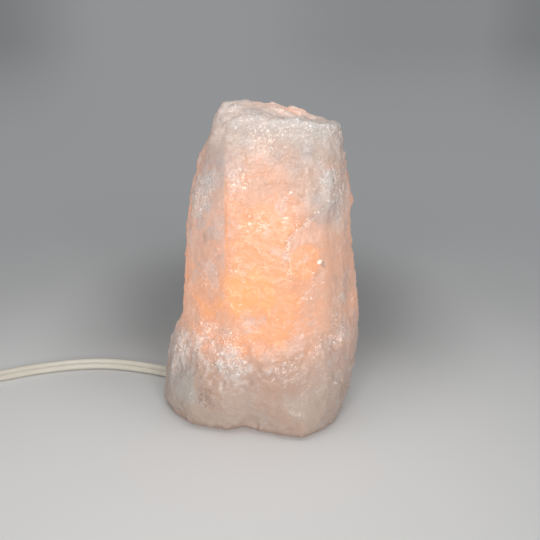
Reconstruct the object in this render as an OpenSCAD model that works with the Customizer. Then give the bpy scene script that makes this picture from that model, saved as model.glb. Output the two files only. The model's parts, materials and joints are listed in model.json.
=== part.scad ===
// Quartz crystal table lamp: a rough block of rose quartz, hollowed from below,
// that stands over a small screw lampholder on a flat cord with a roller switch.
// Millimetres, +Z up, front towards -Y. The origin is on the table, in the middle
// of the rock, and the lampholder, bulb and bore share the Z axis.

/* [Rock] */
// Width of the rock, left to right
rock_w = 123; // [116:1:150]
// Depth of the rock, front to back
rock_d = 92; // [88:1:120]
// Height of the rock from its sawn base to its peak
rock_h = 193; // [170:1:240]
// Diameter of the hole bored from below for the bulb
bore_d = 40; // [38:0.5:44]
// Depth of that hole above the sawn base
bore_h = 102; // [99:1:115]
// Diameter of the recess for the holder's plate
recess_d = 48; // [47.5:0.5:54]
// Depth of the recess above the sawn base
recess_h = 9.2; // [9.2:0.2:12]
// Width of the cord's groove
groove_w = 12; // [11.5:0.5:16]
// How much shallower the groove is than the recess
groove_step = 0.3; // [0.2:0.1:0.4]

/* [Feet] */
// Diameter of a stick-on foot
foot_d = 10; // [6:0.5:12]
// Height of a stick-on foot
foot_h = 1.8; // [1.4:0.1:3]

/* [Holder plate and clips] */
// Diameter of the holder's round plate
plate_d = 46; // [42:0.5:47]
// Thickness of the plate
plate_t = 0.8; // [0.6:0.1:1.2]
// Width of a spring clip
clip_w = 6; // [4:0.5:8]
// Thickness of the clip's spring steel
clip_t = 0.5; // [0.3:0.1:0.8]
// Height of a clip's bowed arm
clip_h = 24; // [18:1:28]
// How far the arm bows outwards
clip_bow = 3.4; // [2.4:0.2:4]
// Room between a clip and the wall of the bore
clip_gap = 0.3; // [0.2:0.1:0.6]

/* [Cord cap] */
// Diameter of the moulded cap under the plate
cap_d = 30; // [27:0.5:36]
// Wall of the cap
cap_wall = 2; // [1.4:0.2:2.6]
// Floor of the cap
cap_floor = 1; // [0.8:0.1:1.2]
// Room between the cap and the table
cap_clear = 0.8; // [0.6:0.1:1]

/* [Lampholder] */
// Outer diameter of the lampholder
holder_d = 21; // [20.4:0.2:23]
// Height of the wiring space above the plate
wiring_h = 14; // [12:0.5:16]
// Diameter of the wiring space
wiring_d = 17; // [16:0.2:18]
// Thickness of the lampholder's floor
holder_floor = 2.5; // [2:0.1:3]
// Height of the bulb's socket above that floor
socket_h = 18.5; // [17.5:0.5:22]
// Outer diameter of the threaded brass shell
shell_d = 14.6; // [13.8:0.2:15.4]

/* [Bulb] */
// Outside diameter of the bulb's screw thread
thread_d = 11.7; // [11:0.1:12]
// Rise of the thread in one turn
thread_pitch = 2.54; // [2:0.02:3]
// Depth of the thread
thread_depth = 0.5; // [0.3:0.05:0.6]
// Room between the bulb's thread and the shell's
thread_fit = 0.25; // [0.2:0.01:0.35]
// Length of the whole bulb
bulb_l = 57; // [50:1:58]
// Diameter of the glass
bulb_d = 23; // [20:0.5:26]
// Wall of the glass
glass_t = 0.8; // [0.5:0.1:1.2]
// Height of the bulb's metal screw base
screw_base_h = 13; // [12:0.5:15]

/* [Cord] */
// Width of the flat twin cord
cord_w = 7.6; // [7:0.1:7.8]
// Thickness of the flat twin cord
cord_t = 3.8; // [3.4:0.1:3.9]
// Diameter of one insulated wire inside a housing
wire_d = 2.8; // [2:0.1:3]

/* [Roller switch] */
// Length of the switch
switch_l = 60; // [58:0.5:60]
// Width of the switch
switch_w = 26; // [25.5:0.5:27]
// Height of the switch
switch_h = 17; // [17:0.5:19]
// Wall of the switch's two shells
switch_wall = 2; // [1.4:0.1:2.1]
// Diameter of the thumb wheel
wheel_d = 22; // [20.5:0.5:22.5]
// Thickness of the thumb wheel
wheel_t = 6; // [4.5:0.5:6]
// Diameter of the wheel's pin
wheel_pin_d = 3; // [2:0.5:3.5]

/* [Plug] */
// Width of the plug's body
plug_w = 25; // [22:0.5:27]
// Height of the plug's body
plug_h = 15; // [14:0.5:17]
// Length of the plug's body
plug_l = 30; // [26:1:34]
// Length of a blade outside the body
blade_l = 17; // [15:0.5:18]
// Distance between the two blades
blade_pitch = 12.7; // [12:0.1:13]
// Width of the narrow blade
narrow_blade_w = 6.4; // [6:0.1:7]
// Width of the wide blade
wide_blade_w = 7.9; // [7:0.1:8.5]
// Thickness of a blade
blade_t = 1.5; // [1.2:0.1:1.8]

/* [Hidden] */
$fn = 48;

quartz = "#f0d6cb";
chrome = "#c9ccd0";
brass = "#c9a24a";
ivory = "#ece5d6";
dark_moulding = "#2d2b2a";
glass = "#f6e7c8";

// A hair of room between two pieces that are pressed or screwed together
press_fit = 0.05;
// Room round a piece that only has to slide in
slide_fit = 0.2;
// How far a cutting shape runs past the face that it opens
past = 1;
// Width of a screw's slot
slot_w = 0.8;

// Heights that the pieces share
base_z = foot_h;
plate_top = base_z + recess_h;
plate_z = plate_top - plate_t;
holder_floor_z = plate_top + wiring_h;
socket_z = holder_floor_z + holder_floor;
contact_h = 2.2;
contact_gap = 0.3;
bulb_z = socket_z + contact_h + contact_gap;

// The rock was drawn at this size, on rings of 16 points from its base to its rim. Each
// ring starts over the nick in the base and ends on the sharp edge left of the front face.
drawn = [123, 92, 193];
rock_rings = [
    // Sawn base
    [[-10, -30, 0], [1, -36.5, 0], [14, -43, 0], [25, -46, 0], [35, -37, 0], [44, -25, 0], [49, -5, 0],
     [51.5, 16, 0], [44, 38, 0], [16, 44, 0], [-12, 43, 0], [-40, 36, 0], [-61.5, 13, 0], [-54, -9, 0],
     [-41, -27, 0], [-19, -35, 0]],
    // Smooth lower face
    [[-9, -37, 12], [3, -40.5, 13], [14, -45, 12], [26, -46, 12], [38, -39.5, 13], [48, -27, 14],
     [54, -8, 16], [54.5, 16, 16], [46, 40, 16], [17, 46, 14], [-14, 45, 16], [-42, 38, 18],
     [-61.5, 12, 14], [-56.5, -10, 12], [-42.5, -29.5, 13], [-21, -38, 14]],
    // Shallow hollows under the ridge
    [[-8.5, -38.5, 27], [4, -42, 28], [15, -44.5, 29], [27, -43, 31], [40, -37, 33], [50, -26, 35],
     [57, -9, 35], [59, 15, 33], [48.5, 39, 31], [17, 43.5, 30], [-14, 46, 32], [-42.5, 35.5, 33],
     [-59, 13, 27], [-54, -8.5, 30], [-40, -27.5, 31], [-21, -38.5, 29]],
    // Broken ridge across the lower front
    [[-8, -43, 42.5], [4, -45.5, 41.5], [15, -44.5, 45], [25, -42, 49.5], [36, -36.5, 55],
     [46, -25.5, 55], [56.5, -9, 54], [61.5, 14, 52], [48, 38.5, 47], [18, 45, 45], [-14, 43.5, 49],
     [-41, 36.5, 47], [-56, 12, 44], [-51.5, -7, 47], [-37, -28.5, 48.5], [-20.5, -39, 45]],
    // Foot of the tall front face
    [[-6, -38.5, 56], [5, -39.5, 56], [16, -39.5, 60], [27, -38, 64], [39, -33, 68], [49, -21, 68],
     [57.5, -6, 68], [61, 15, 65], [49, 36, 66], [18.5, 41, 65], [-13, 42.5, 64], [-37.5, 33, 64],
     [-48.5, 9, 62], [-45.5, -9, 61], [-33.5, -26.5, 61], [-19.5, -37.5, 58]],
    // Front face, level with the bulb
    [[-6, -38.5, 76], [6, -38.5, 77], [17, -39, 79], [28, -36.5, 82], [40, -31.5, 84], [49, -20, 84],
     [56, -4, 83], [59.5, 13.5, 80], [47.5, 37, 80], [17.5, 40, 82], [-12.5, 39.5, 80], [-36.5, 34, 81],
     [-46.5, 9.5, 80], [-44.5, -9.5, 79], [-33, -24, 80], [-20, -37, 80]],
    // Lower end of the long crack
    [[-4, -37.5, 95], [7, -37.5, 94], [18, -37.5, 96], [28, -34, 97], [39, -29.5, 99], [48, -18, 99],
     [54, -4, 98], [57, 12.5, 95], [44.5, 33, 95], [17, 39, 96], [-12, 36.5, 97], [-34, 29, 96],
     [-45.5, 9, 95], [-42.5, -9, 97], [-31.5, -24, 98], [-19.5, -35, 100]],
    // Bend of the long crack
    [[-5, -34.5, 117], [6, -34.5, 117], [15.5, -34.5, 118], [26, -31, 121], [37, -27.5, 123],
     [46, -17, 122], [51.5, -4, 121], [54, 10.5, 122], [42.5, 31, 119], [16, 32.5, 121], [-11, 34, 120],
     [-33, 26.5, 121], [-43.5, 7, 121], [-41, -8, 122], [-30.5, -22, 121], [-20.5, -32.5, 120]],
    // Upper end of the long crack, and the bump on the right side
    [[-5, -31, 136], [6, -31, 134], [17, -31.5, 133], [29, -31, 131], [40.5, -26, 139],
     [47.5, -14, 137], [53, -2, 134], [55.5, 9.5, 133], [41, 27.5, 138], [15, 31, 139],
     [-11, 28.5, 140], [-30.5, 22, 138], [-42, 6, 134], [-38, -8, 138], [-28.5, -20, 138],
     [-20, -28.5, 139]],
    // Shoulders
    [[-6, -26, 157], [5, -25.5, 158], [17, -25.5, 159], [29, -24.5, 158], [40, -19.5, 158],
     [46, -11, 157], [50, -1, 155], [51, 7.5, 155], [39.5, 22, 158], [14.5, 24.5, 160],
     [-10.5, 26, 161], [-27, 16.5, 160], [-36.5, 4.5, 158], [-34, -7, 158], [-27.5, -16, 159],
     [-20, -23, 160]],
    // Frosted band under the rim
    [[-7, -20, 176], [5, -20.5, 174], [16, -19.5, 174], [29, -19, 173], [39.5, -14.5, 172],
     [45.5, -8, 171], [49, -1, 170], [48, 6.5, 170], [37.5, 15, 171], [14.5, 18.5, 175], [-9, 18, 177],
     [-22.5, 13.5, 178], [-30, 4, 174], [-29, -5.5, 174], [-25, -12, 176], [-19.5, -19, 177]],
    // Rim of the sloping top
    [[-5, -15, 187], [5, -15.5, 186], [16, -15, 185], [29, -14.5, 183.5], [39, -11.5, 182],
     [44.5, -8, 181], [47, -2.5, 179.5], [44.5, 4, 180.5], [37, 8, 182.5], [20, 13, 188.5],
     [-2, 13.5, 191], [-14, 11, 192], [-21.5, 5, 193], [-24.5, -1, 187], [-23, -7.5, 185],
     [-14.5, -14, 187.5]]
];
// Middles of the four feet, as points of the drawn base
foot_spots = [[-44, -8], [26, -33], [38, 22], [-14, 34]];

// Cord route, laid by hand: x, y, z and how far the flat cord is rolled from lying flat
groove_angle = 138;
on_edge = 90;
lead_route = [
    [-7.4, 6.7, 5.8, 90], [-16.4, 14.8, 5.8, 90], [-26, 23.4, 5.8, 90], [-32, 28.8, 5.5, 90],
    [-38.6, 34.7, 4.8, 90], [-45.3, 40.6, 4.1, 90], [-52.4, 46.4, 3.8, 90], [-60, 51.8, 3.8, 90],
    [-68, 56.4, 3.8, 90], [-77, 60.6, 3.8, 90], [-87, 64.4, 3.8, 90], [-98, 67.6, 3.8, 90],
    [-110, 69.3, 3.8, 90], [-122, 68.7, 3.8, 90], [-134, 66.2, 3.8, 90], [-146, 62.2, 3.8, 90],
    [-157, 57.6, 3.8, 90], [-167, 52.2, 3.8, 90], [-177, 46.6, 3.8, 90], [-187, 41.4, 3.8, 75],
    [-197, 37.4, 4.8, 50], [-206, 35.5, 6.8, 22], [-214, 35, 8.4, 0], [-220, 35, 8.5, 0], [-225, 35, 8.5, 0]
];
run_route = [
    [-279, 35, 8.5, 0], [-283, 35, 8.5, 0], [-288, 35, 7.9, 18], [-293.5, 35, 6.6, 45], [-299, 35, 5.3, 72],
    [-304, 35, 4.8, 90], [-308.4, 35, 4.8, 90]
];
tail_route = [
    [-308.4, -60.4, 12.9, 90], [-303.5, -60.4, 12.9, 90], [-297.5, -60.4, 12.1, 72],
    [-291.5, -60.4, 10.4, 45], [-285.5, -60.4, 8.6, 18], [-279, -60.4, 7.5, 0], [-272, -60.4, 7.5, 0]
];
switch_middle = [-252, 35];
plug_start = [-272, -60.4, 7.5];

// The coil lies on its flat tie: two layers that spiral in and out again
coil_middle = [-316, -12.7];
coil_turns = 5.5;
coil_inner_r = 35.6;
coil_pitch = 4.4;
coil_layer = 8.1;
coil_z = 4.8;
loop_rings = 24;

// Cross-sections of the flat cord and of one wire, across and up
cord_section = [
    [cord_w / 2, -0.2 * cord_t], [cord_w / 2, 0.2 * cord_t], [0.35 * cord_w, cord_t / 2],
    [-0.35 * cord_w, cord_t / 2], [-cord_w / 2, 0.2 * cord_t], [-cord_w / 2, -0.2 * cord_t],
    [-0.35 * cord_w, -cord_t / 2], [0.35 * cord_w, -cord_t / 2]
];
coil_section = [
    [cord_w / 2, 0], [0.3 * cord_w, cord_t / 2], [-0.3 * cord_w, cord_t / 2],
    [-cord_w / 2, 0], [-0.3 * cord_w, -cord_t / 2], [0.3 * cord_w, -cord_t / 2]
];
wire_section = [for (a = [22.5 : 45 : 359]) wire_d / 2 * [cos(a), sin(a)]];

function unit(v) = v / norm(v);
function spot(route, i) = [route[i].x, route[i].y, route[i].z];
function along(route, i) = unit(spot(route, min(i + 1, len(route) - 1)) - spot(route, max(i - 1, 0)));

// Rings of a section carried along a route. The section's first axis is level
// when the roll is 0, and flat_to is a direction that the route never follows.
function swept(route, section, flat_to = [0, 0, 1]) = [
    for (i = [0 : len(route) - 1])
        let (
            ahead = along(route, i),
            side = unit(cross(flat_to, ahead)),
            up = cross(ahead, side),
            roll = route[i][3],
            wide = cos(roll) * side + sin(roll) * up,
            thin = cross(ahead, wide)
        )
        [for (s = section) spot(route, i) + s.x * wide + s.y * thin]
];

// A closed skin over a list of rings that all have as many points
module loft(rings) {
    n = len(rings[0]);
    last = (len(rings) - 1) * n;
    sides = [
        for (i = [0 : len(rings) - 2], j = [0 : n - 1])
            let (a = i * n + j, b = i * n + (j + 1) % n)
            each [[a, b + n, b], [a, a + n, b + n]]
    ];
    ends = [for (j = [1 : n - 2]) each [[0, j, j + 1], [last, last + j + 1, last + j]]];
    polyhedron(points = [for (r = rings) each r], faces = concat(sides, ends));
}

module sweep(route, section, flat_to = [0, 0, 1]) {
    loft(swept(route, section, flat_to));
}

module tube(d, bore, h) {
    difference() {
        cylinder(d = d, h = h);
        translate([0, 0, -past]) cylinder(d = bore, h = h + 2 * past);
    }
}

// Rock and feet

function sized(p) = [p.x * rock_w / drawn.x, p.y * rock_d / drawn.y, p.z * rock_h / drawn.z];

module crystal_block() {
    color(quartz) difference() {
        translate([0, 0, base_z]) loft([for (ring = rock_rings) [for (p = ring) sized(p)]]);
        translate([0, 0, base_z - past]) cylinder(d = bore_d, h = bore_h + past);
        translate([0, 0, base_z - past]) cylinder(d = recess_d, h = recess_h + past);
        rotate(groove_angle) translate([0, -groove_w / 2, base_z - past])
            cube([rock_w, groove_w, recess_h - groove_step + past]);
    }
}

module bumper_feet() {
    color("#e9e9e6") for (p = foot_spots)
        translate(sized([p.x, p.y, 0])) cylinder(d1 = foot_d - 1, d2 = foot_d, h = foot_h);
}

// Plate, clips and cap

// The two screws that hold cap, plate and lampholder together
cap_screw_d = 2.6;
cap_screw_r = 7.2;
cap_boss_d = 5.4;
cap_screw_head_d = 4.6;
cap_screw_head_h = 1.6;
cap_screw_grip = 9;
wire_hole_d = 9;

// An arm is part of a circle, bowed out to the wall of the bore
foot_top = plate_top + clip_t;
clip_upstand = 2;
hinge_gap = 0.3;
arm_z = foot_top + clip_upstand + hinge_gap;
arm_r = (pow(clip_h / 2, 2) + pow(clip_bow, 2)) / (2 * clip_bow);
arm_reach = sqrt(pow(bore_d / 2 - clip_gap, 2) - pow(clip_w / 2, 2));
arm_foot = arm_reach - clip_bow;
clip_foot_room = 0.4;
clip_foot_in = holder_d / 2 + clip_foot_room;
clip_rivet_x = (clip_foot_in + arm_foot - clip_t) / 2;
clip_rivet_d = 1.8;
clip_rivet_head = 2.8;
clip_rivet_head_h = 0.6;

module each_side() {
    children();
    mirror([1, 0, 0]) children();
}

module each_side_y() {
    children();
    mirror([0, 1, 0]) children();
}

module each_end() {
    children();
    rotate(180) children();
}

module holder_plate() {
    color(chrome) difference() {
        translate([0, 0, plate_z]) cylinder(d = plate_d, h = plate_t, $fn = 96);
        translate([0, 0, plate_z - past]) {
            cylinder(d = wire_hole_d, h = plate_t + 2 * past);
            each_end() translate([0, cap_screw_r, 0])
                cylinder(d = cap_screw_d + slide_fit, h = plate_t + 2 * past);
            each_side() translate([clip_rivet_x, 0, 0])
                cylinder(d = clip_rivet_d + press_fit, h = plate_t + 2 * past);
        }
    }
}

module clip_feet() {
    color(chrome) each_side() difference() {
        union() {
            translate([clip_foot_in, -clip_w / 2, plate_top])
                cube([arm_foot - clip_foot_in, clip_w, clip_t]);
            translate([arm_foot - clip_t, -clip_w / 2, plate_top])
                cube([clip_t, clip_w, clip_t + clip_upstand]);
        }
        translate([clip_rivet_x, 0, plate_top - past])
            cylinder(d = clip_rivet_d + press_fit, h = clip_t + 2 * past);
    }
}

module clip_rivets() {
    color(chrome) each_side() translate([clip_rivet_x, 0, 0]) {
        translate([0, 0, plate_z]) cylinder(d = clip_rivet_d, h = plate_t + clip_t);
        translate([0, 0, foot_top]) cylinder(d = clip_rivet_head, h = clip_rivet_head_h);
        translate([0, 0, plate_z - clip_rivet_head_h])
            cylinder(d = clip_rivet_head, h = clip_rivet_head_h);
    }
}

module right_clip() {
    color(chrome) translate([arm_reach - arm_r, clip_w / 2, arm_z + clip_h / 2]) rotate([90, 0, 0])
        linear_extrude(clip_w) intersection() {
            difference() {
                circle(r = arm_r, $fn = 96);
                circle(r = arm_r - clip_t, $fn = 96);
            }
            translate([0, -clip_h / 2]) square([arm_r + past, clip_h]);
        }
}

module left_clip() {
    mirror([1, 0, 0]) right_clip();
}

// The cord's strain relief is keyed into a slot in the cap's wall
cap_h = plate_z - cap_clear;
cap_inner_r = cap_d / 2 - cap_wall;
relief_z = 5.8;
relief_neck = [5.4, 8];
relief_flange = [8, 8, 1.4];
relief_root = [9, 8.6];
relief_tip = [5.6, 8.4];
relief_end = 35;
flange_out = sqrt(pow(cap_inner_r - slide_fit, 2) - pow(relief_flange.x / 2, 2));

module cord_cap() {
    color(dark_moulding) difference() {
        union() {
            translate([0, 0, cap_clear]) difference() {
                cylinder(d = cap_d, h = cap_h);
                translate([0, 0, cap_floor]) cylinder(r = cap_inner_r, h = cap_h);
            }
            translate([0, 0, cap_clear]) each_end() translate([0, cap_screw_r, 0])
                cylinder(d = cap_boss_d, h = cap_h);
        }
        translate([0, 0, cap_clear - past]) each_end() translate([0, cap_screw_r, 0]) {
            cylinder(d = cap_screw_d + slide_fit, h = cap_h + 2 * past);
            cylinder(d = cap_screw_head_d + slide_fit, h = past + cap_screw_head_h + slide_fit);
        }
        rotate(groove_angle)
            translate([0, -relief_neck.x / 2 - press_fit, relief_z - relief_neck.y / 2 - press_fit])
                cube([cap_d, relief_neck.x + 2 * press_fit, cap_h]);
        each_side() translate([clip_rivet_x, 0, plate_z - clip_rivet_head_h - press_fit])
            cylinder(d = clip_rivet_head + slide_fit, h = clip_rivet_head_h + past);
    }
}

module cap_screws() {
    color("#b9bcc0") each_end() translate([0, cap_screw_r, cap_clear + slide_fit]) {
        difference() {
            cylinder(d = cap_screw_head_d, h = cap_screw_head_h);
            translate([0, 0, -past]) linear_extrude(past + cap_screw_head_h / 2)
                square([cap_screw_head_d + past, slot_w], center = true);
        }
        translate([0, 0, cap_screw_head_h]) cylinder(
            d = cap_screw_d,
            h = plate_top - cap_clear - slide_fit - cap_screw_head_h + cap_screw_grip
        );
    }
}

module cord_strain_relief() {
    wall_out = cap_d / 2;
    color(ivory) rotate(groove_angle) difference() {
        union() {
            translate([flange_out - relief_flange.z, -relief_flange.x / 2, relief_z - relief_flange.y / 2])
                cube([relief_flange.z, relief_flange.x, relief_flange.y]);
            translate([flange_out - press_fit, -relief_neck.x / 2, relief_z - relief_neck.y / 2])
                cube([wall_out + slide_fit - flange_out + 2 * press_fit, relief_neck.x, relief_neck.y]);
            hull() {
                translate([wall_out + slide_fit, -relief_root.x / 2, relief_z - relief_root.y / 2])
                    cube([press_fit, relief_root.x, relief_root.y]);
                translate([relief_end - press_fit, -relief_tip.x / 2, relief_z - relief_tip.y / 2])
                    cube([press_fit, relief_tip.x, relief_tip.y]);
            }
        }
        translate([0, -cord_t / 2 - press_fit, relief_z - cord_w / 2 - press_fit])
            cube([relief_end + past, cord_t + 2 * press_fit, cord_w + 2 * press_fit]);
    }
}

// Wires inside the cap, from the end of the cord to the terminal screws

terminal_x = [-1.8, 5.9];
wire_apart = cord_w / 4;
terminal_head_d = 4.2;
terminal_head_h = 2;
terminal_d = 2.4;
terminal_head_z = holder_floor_z - terminal_head_h;
line_wire_route = [
    [-7.4, 6.7, relief_z + wire_apart, 0], [-5.4, 4.9, relief_z + wire_apart, 0], [-3.2, 2.6, 8.2, 0],
    [-2.1, 1.2, 10, 0], [-1.8, 0.5, 13, 0], [-1.8, 0, terminal_head_z - 3, 0], [-1.8, 0, terminal_head_z, 0]
];
neutral_wire_route = [
    [-7.4, 6.7, relief_z - wire_apart, 0], [-5.4, 4.9, relief_z - wire_apart, 0], [-1.5, 1.6, 3.9, 0],
    [1.2, -0.5, 5.4, 0], [2.2, -1.2, 9, 0], [2.6, -1, 12.5, 0], [4.8, -0.3, 17, 0],
    [5.9, 0, terminal_head_z - 3, 0], [5.9, 0, terminal_head_z, 0]
];
// Square to the groove and level, so that no part of either wire runs along it
wire_level = [sin(groove_angle), -cos(groove_angle), 0];

module line_wire() {
    color("#1d1d1f") sweep(line_wire_route, wire_section, wire_level);
}

module neutral_wire() {
    color("#f2f2ee") sweep(neutral_wire_route, wire_section, wire_level);
}

// Lampholder

module lampholder_body() {
    color(dark_moulding) difference() {
        union() {
            translate([0, 0, plate_top]) tube(holder_d, wiring_d, wiring_h);
            translate([0, 0, holder_floor_z]) cylinder(d = holder_d, h = holder_floor);
            translate([0, 0, socket_z]) tube(holder_d, shell_d + 2 * press_fit, socket_h);
            intersection() {
                translate([0, 0, plate_top]) cylinder(d = holder_d, h = wiring_h);
                each_end() translate([0, cap_screw_r, plate_top]) cylinder(d = cap_boss_d, h = wiring_h);
            }
        }
        each_end() translate([0, cap_screw_r, plate_top - past])
            cylinder(d = cap_screw_d + 2 * press_fit, h = cap_screw_grip + past + slide_fit);
        for (x = terminal_x) translate([x, 0, holder_floor_z - past])
            cylinder(d = terminal_d + 2 * press_fit, h = holder_floor + 2 * past);
    }
}

contact_t = 0.4;
contact_w = 3.6;
shell_flange = 0.6;
shell_hole_d = 9.2;

module terminal_screws() {
    color(brass) for (x = terminal_x) translate([x, 0, terminal_head_z]) {
        cylinder(d = terminal_head_d, h = terminal_head_h);
        cylinder(d = terminal_d, h = terminal_head_h + holder_floor + shell_flange);
    }
}

module centre_contact() {
    left = -4;
    right = 2.4;
    nose = -2;
    color(brass) difference() {
        translate([0, contact_w / 2, socket_z]) rotate([90, 0, 0]) linear_extrude(contact_w) polygon([
            [left, 0], [right, 0], [right, contact_h], [nose, contact_h], [nose, contact_h - contact_t],
            [right - contact_t, contact_h - contact_t], [right - contact_t, contact_t], [left, contact_t]
        ]);
        translate([terminal_x[0], 0, socket_z - past])
            cylinder(d = terminal_d + 2 * press_fit, h = past + shell_flange + press_fit);
    }
}

// A rolled thread is a wave that climbs one pitch in a turn. Rings lie a sixth of a pitch apart.
thread_sides = 24;

function thread_rings(root_r, low, high, run_in) =
    let (steps = ceil(6 * (high - low) / thread_pitch))
    [
        for (i = [0 : steps])
            let (
                z = low + (high - low) * i / steps,
                full = run_in == 0 ? 1 : max(0, min(1, (z - low) / run_in, (high - z) / run_in))
            )
            [for (j = [0 : thread_sides - 1])
                let (
                    a = 360 * j / thread_sides,
                    r = root_r + full * thread_depth / 2 * (1 + cos(360 * z / thread_pitch - a))
                )
                [r * cos(a), r * sin(a), z]]
    ];

bulb_thread_root = thread_d / 2 - thread_depth;
shell_h = socket_h - 1;
shell_top = socket_z + shell_h;
thread_start = bulb_z - 1;

module screw_shell() {
    color(brass) difference() {
        translate([0, 0, socket_z]) cylinder(d = shell_d, h = shell_h);
        translate([0, 0, socket_z - past]) cylinder(d = shell_hole_d, h = shell_h);
        translate([0, 0, socket_z + shell_flange])
            cylinder(d = thread_d + 2 * thread_fit, h = thread_start - socket_z - shell_flange + press_fit);
        loft(thread_rings(bulb_thread_root + thread_fit, thread_start, shell_top + past, 0));
        translate([terminal_x[1], 0, socket_z - past])
            cylinder(d = terminal_d + 2 * press_fit, h = past + shell_flange + press_fit);
    }
}

// Bulb. Only the tip contact is round in every way, so it rides on the slide of the screw joint.

tip_d = 4.8;
tip_h = 1.4;
insulator_h = 2;
insulator_tip_d = 6.2;
screw_base_z = bulb_z + tip_h + insulator_h;
screw_base_top = screw_base_z + screw_base_h;
screw_base_wall = 0.4;
screw_base_bore = 2 * (bulb_thread_root - screw_base_wall);
neck_d = screw_base_bore - slide_fit;
bulb_top = bulb_z + bulb_l;
bulb_r = bulb_d / 2;
neck_z = screw_base_top - 4;

module bulb_tip_contact() {
    color("#b8b9bb") translate([0, 0, bulb_z]) intersection() {
        cylinder(d = tip_d, h = tip_h);
        translate([0, 0, tip_d]) sphere(r = tip_d, $fn = 64);
    }
}

module bulb_insulator() {
    color("#1b1a1c") translate([0, 0, bulb_z + tip_h])
        cylinder(d1 = insulator_tip_d, d2 = 2 * (bulb_thread_root - slide_fit), h = insulator_h);
}

module bulb_screw_base() {
    color(brass) difference() {
        loft(thread_rings(bulb_thread_root, screw_base_z, screw_base_top, thread_pitch / 2));
        translate([0, 0, screw_base_z + past]) cylinder(d = screw_base_bore, h = screw_base_h);
    }
}

// Half outline of the glass, as radius and height, inset by a wall
function glass_outline(inset) =
    let (
        r = bulb_r - inset,
        shoulder = screw_base_top + 1,
        dome = bulb_top - bulb_r,
        neck = neck_d / 2 - inset
    )
    concat(
        [[neck, neck_z + inset], [neck, shoulder - 1]],
        [for (a = [0 : 10 : 90]) [neck + (r - neck) * (1 - cos(a)) * 0.5 + (r - neck) * sin(a) * 0.5,
            shoulder + (dome - shoulder) * (0.25 * a / 90 + 0.75 * (1 - cos(a)))]],
        [for (a = [10 : 10 : 80]) [r * cos(a), dome + r * sin(a)]],
        [[0, dome + r]]
    );

module bulb_glass() {
    color(glass, 0.6) rotate_extrude($fn = 72) difference() {
        polygon(concat(glass_outline(0), [[0, neck_z]]));
        polygon(concat(glass_outline(glass_t), [[0, neck_z + glass_t]]));
    }
}

stem_z = neck_z + glass_t;
stem_top = screw_base_top + 8;
stem_d = 4;
stem_flare_h = 3;
filament_z = screw_base_top + 19;
filament_r = 4.5;
support_d = 0.6;
support_foot_r = 1.2;
support_end_h = 0.1;

module bulb_stem() {
    color(glass, 0.8) translate([0, 0, stem_z]) {
        cylinder(d1 = neck_d - 2 * glass_t - 0.3, d2 = stem_d, h = stem_flare_h);
        cylinder(d = stem_d, h = stem_top - stem_z);
    }
}

module bulb_support_wires() {
    color("#a5a7aa") each_side() hull() {
        translate([support_foot_r, 0, stem_top]) cylinder(d = support_d, h = support_end_h, $fn = 16);
        translate([filament_r, 0, filament_z - support_end_h])
            cylinder(d = support_d, h = support_end_h, $fn = 16);
    }
}

module bulb_filament() {
    color("#ffc36b") translate([0, 0, filament_z + support_d / 2]) rotate([90, 0, 0])
        rotate_extrude(angle = 180, $fn = 48) translate([filament_r, 0]) circle(d = support_d, $fn = 16);
}

// Flat cord, in stretches

module cord_lead() {
    color(ivory) sweep(lead_route, cord_section);
}

module cord_run() {
    color(ivory) sweep(run_route, cord_section);
}

module cord_tail() {
    color(ivory) sweep(tail_route, cord_section);
}

function smooth(x) = let (t = max(0, min(1, x))) t * t * (3 - 2 * t);

// Turn t of the coil: it spirals in to half way, climbs a layer there and spirals out
function coil_radius(t) = coil_inner_r + coil_pitch * abs(t - coil_turns / 2);

function coil_spot(t) =
    let (
        r = coil_radius(t),
        a = 90 + 360 * t,
        z = coil_z + coil_layer * smooth(2 * (t - coil_turns / 2) + 0.5)
    )
    [coil_middle.x + r * cos(a), coil_middle.y + r * sin(a), z, on_edge];

coil_start = coil_spot(0);
coil_end = coil_spot(coil_turns);
coil_route = concat(
    [[coil_start.x + cord_w, coil_start.y, coil_start.z, on_edge]],
    [for (i = [0 : coil_turns * loop_rings]) coil_spot(i / loop_rings)],
    [[coil_end.x + cord_w, coil_end.y, coil_end.z, on_edge]]
);

module cord_coil() {
    color(ivory) sweep(coil_route, coil_section);
}

// The tie is a flat strap round all the turns, a quarter turn in, where they lie in two even stacks
tie_w = 5;
tie_t = 0.7;
tie_room = 0.3;
tie_side_room = 0.6;
tie_turn = 0.25;
tie_out = coil_radius(tie_turn) + cord_t / 2 + tie_side_room;
tie_in = coil_radius(tie_turn + 2) - cord_t / 2 - tie_side_room;
tie_h = coil_layer + cord_w + 2 * tie_room;

module cord_tie() {
    color("#33343a")
        translate([coil_middle.x - tie_out, coil_middle.y + tie_w / 2, coil_z - cord_w / 2 - tie_room])
        rotate([90, 0, 0]) linear_extrude(tie_w) difference() {
            offset(r = tie_t) square([tie_out - tie_in, tie_h]);
            square([tie_out - tie_in, tie_h]);
        }
}

// In-line roller switch, in its own frame: along X, standing on the table

split_z = switch_h / 2;
switch_corner = 8;
wheel_out = 2.5;
wheel_y = -switch_w / 2 - wheel_out + wheel_d / 2;
wheel_z = split_z - wheel_t / 2;
cam_w = 8;
cam_h = 2;
pin_boss_z = wheel_z + wheel_t + cam_h + 2 * slide_fit;
boss_d = 5.4;
pin_boss_d = wheel_pin_d + 3;
pin_seat = switch_wall / 2;
switch_screw_d = 2.4;
switch_screw_head_d = 4.4;
switch_screw_head_h = 1.6;
switch_screw_spots = [[-15.5, -7], [15.5, -7]];

module switch_place() {
    translate([switch_middle.x, switch_middle.y, 0]) children();
}

module switch_outline(inset) {
    offset(r = switch_corner - inset)
        square([switch_l - 2 * switch_corner, switch_w - 2 * switch_corner], center = true);
}

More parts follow.
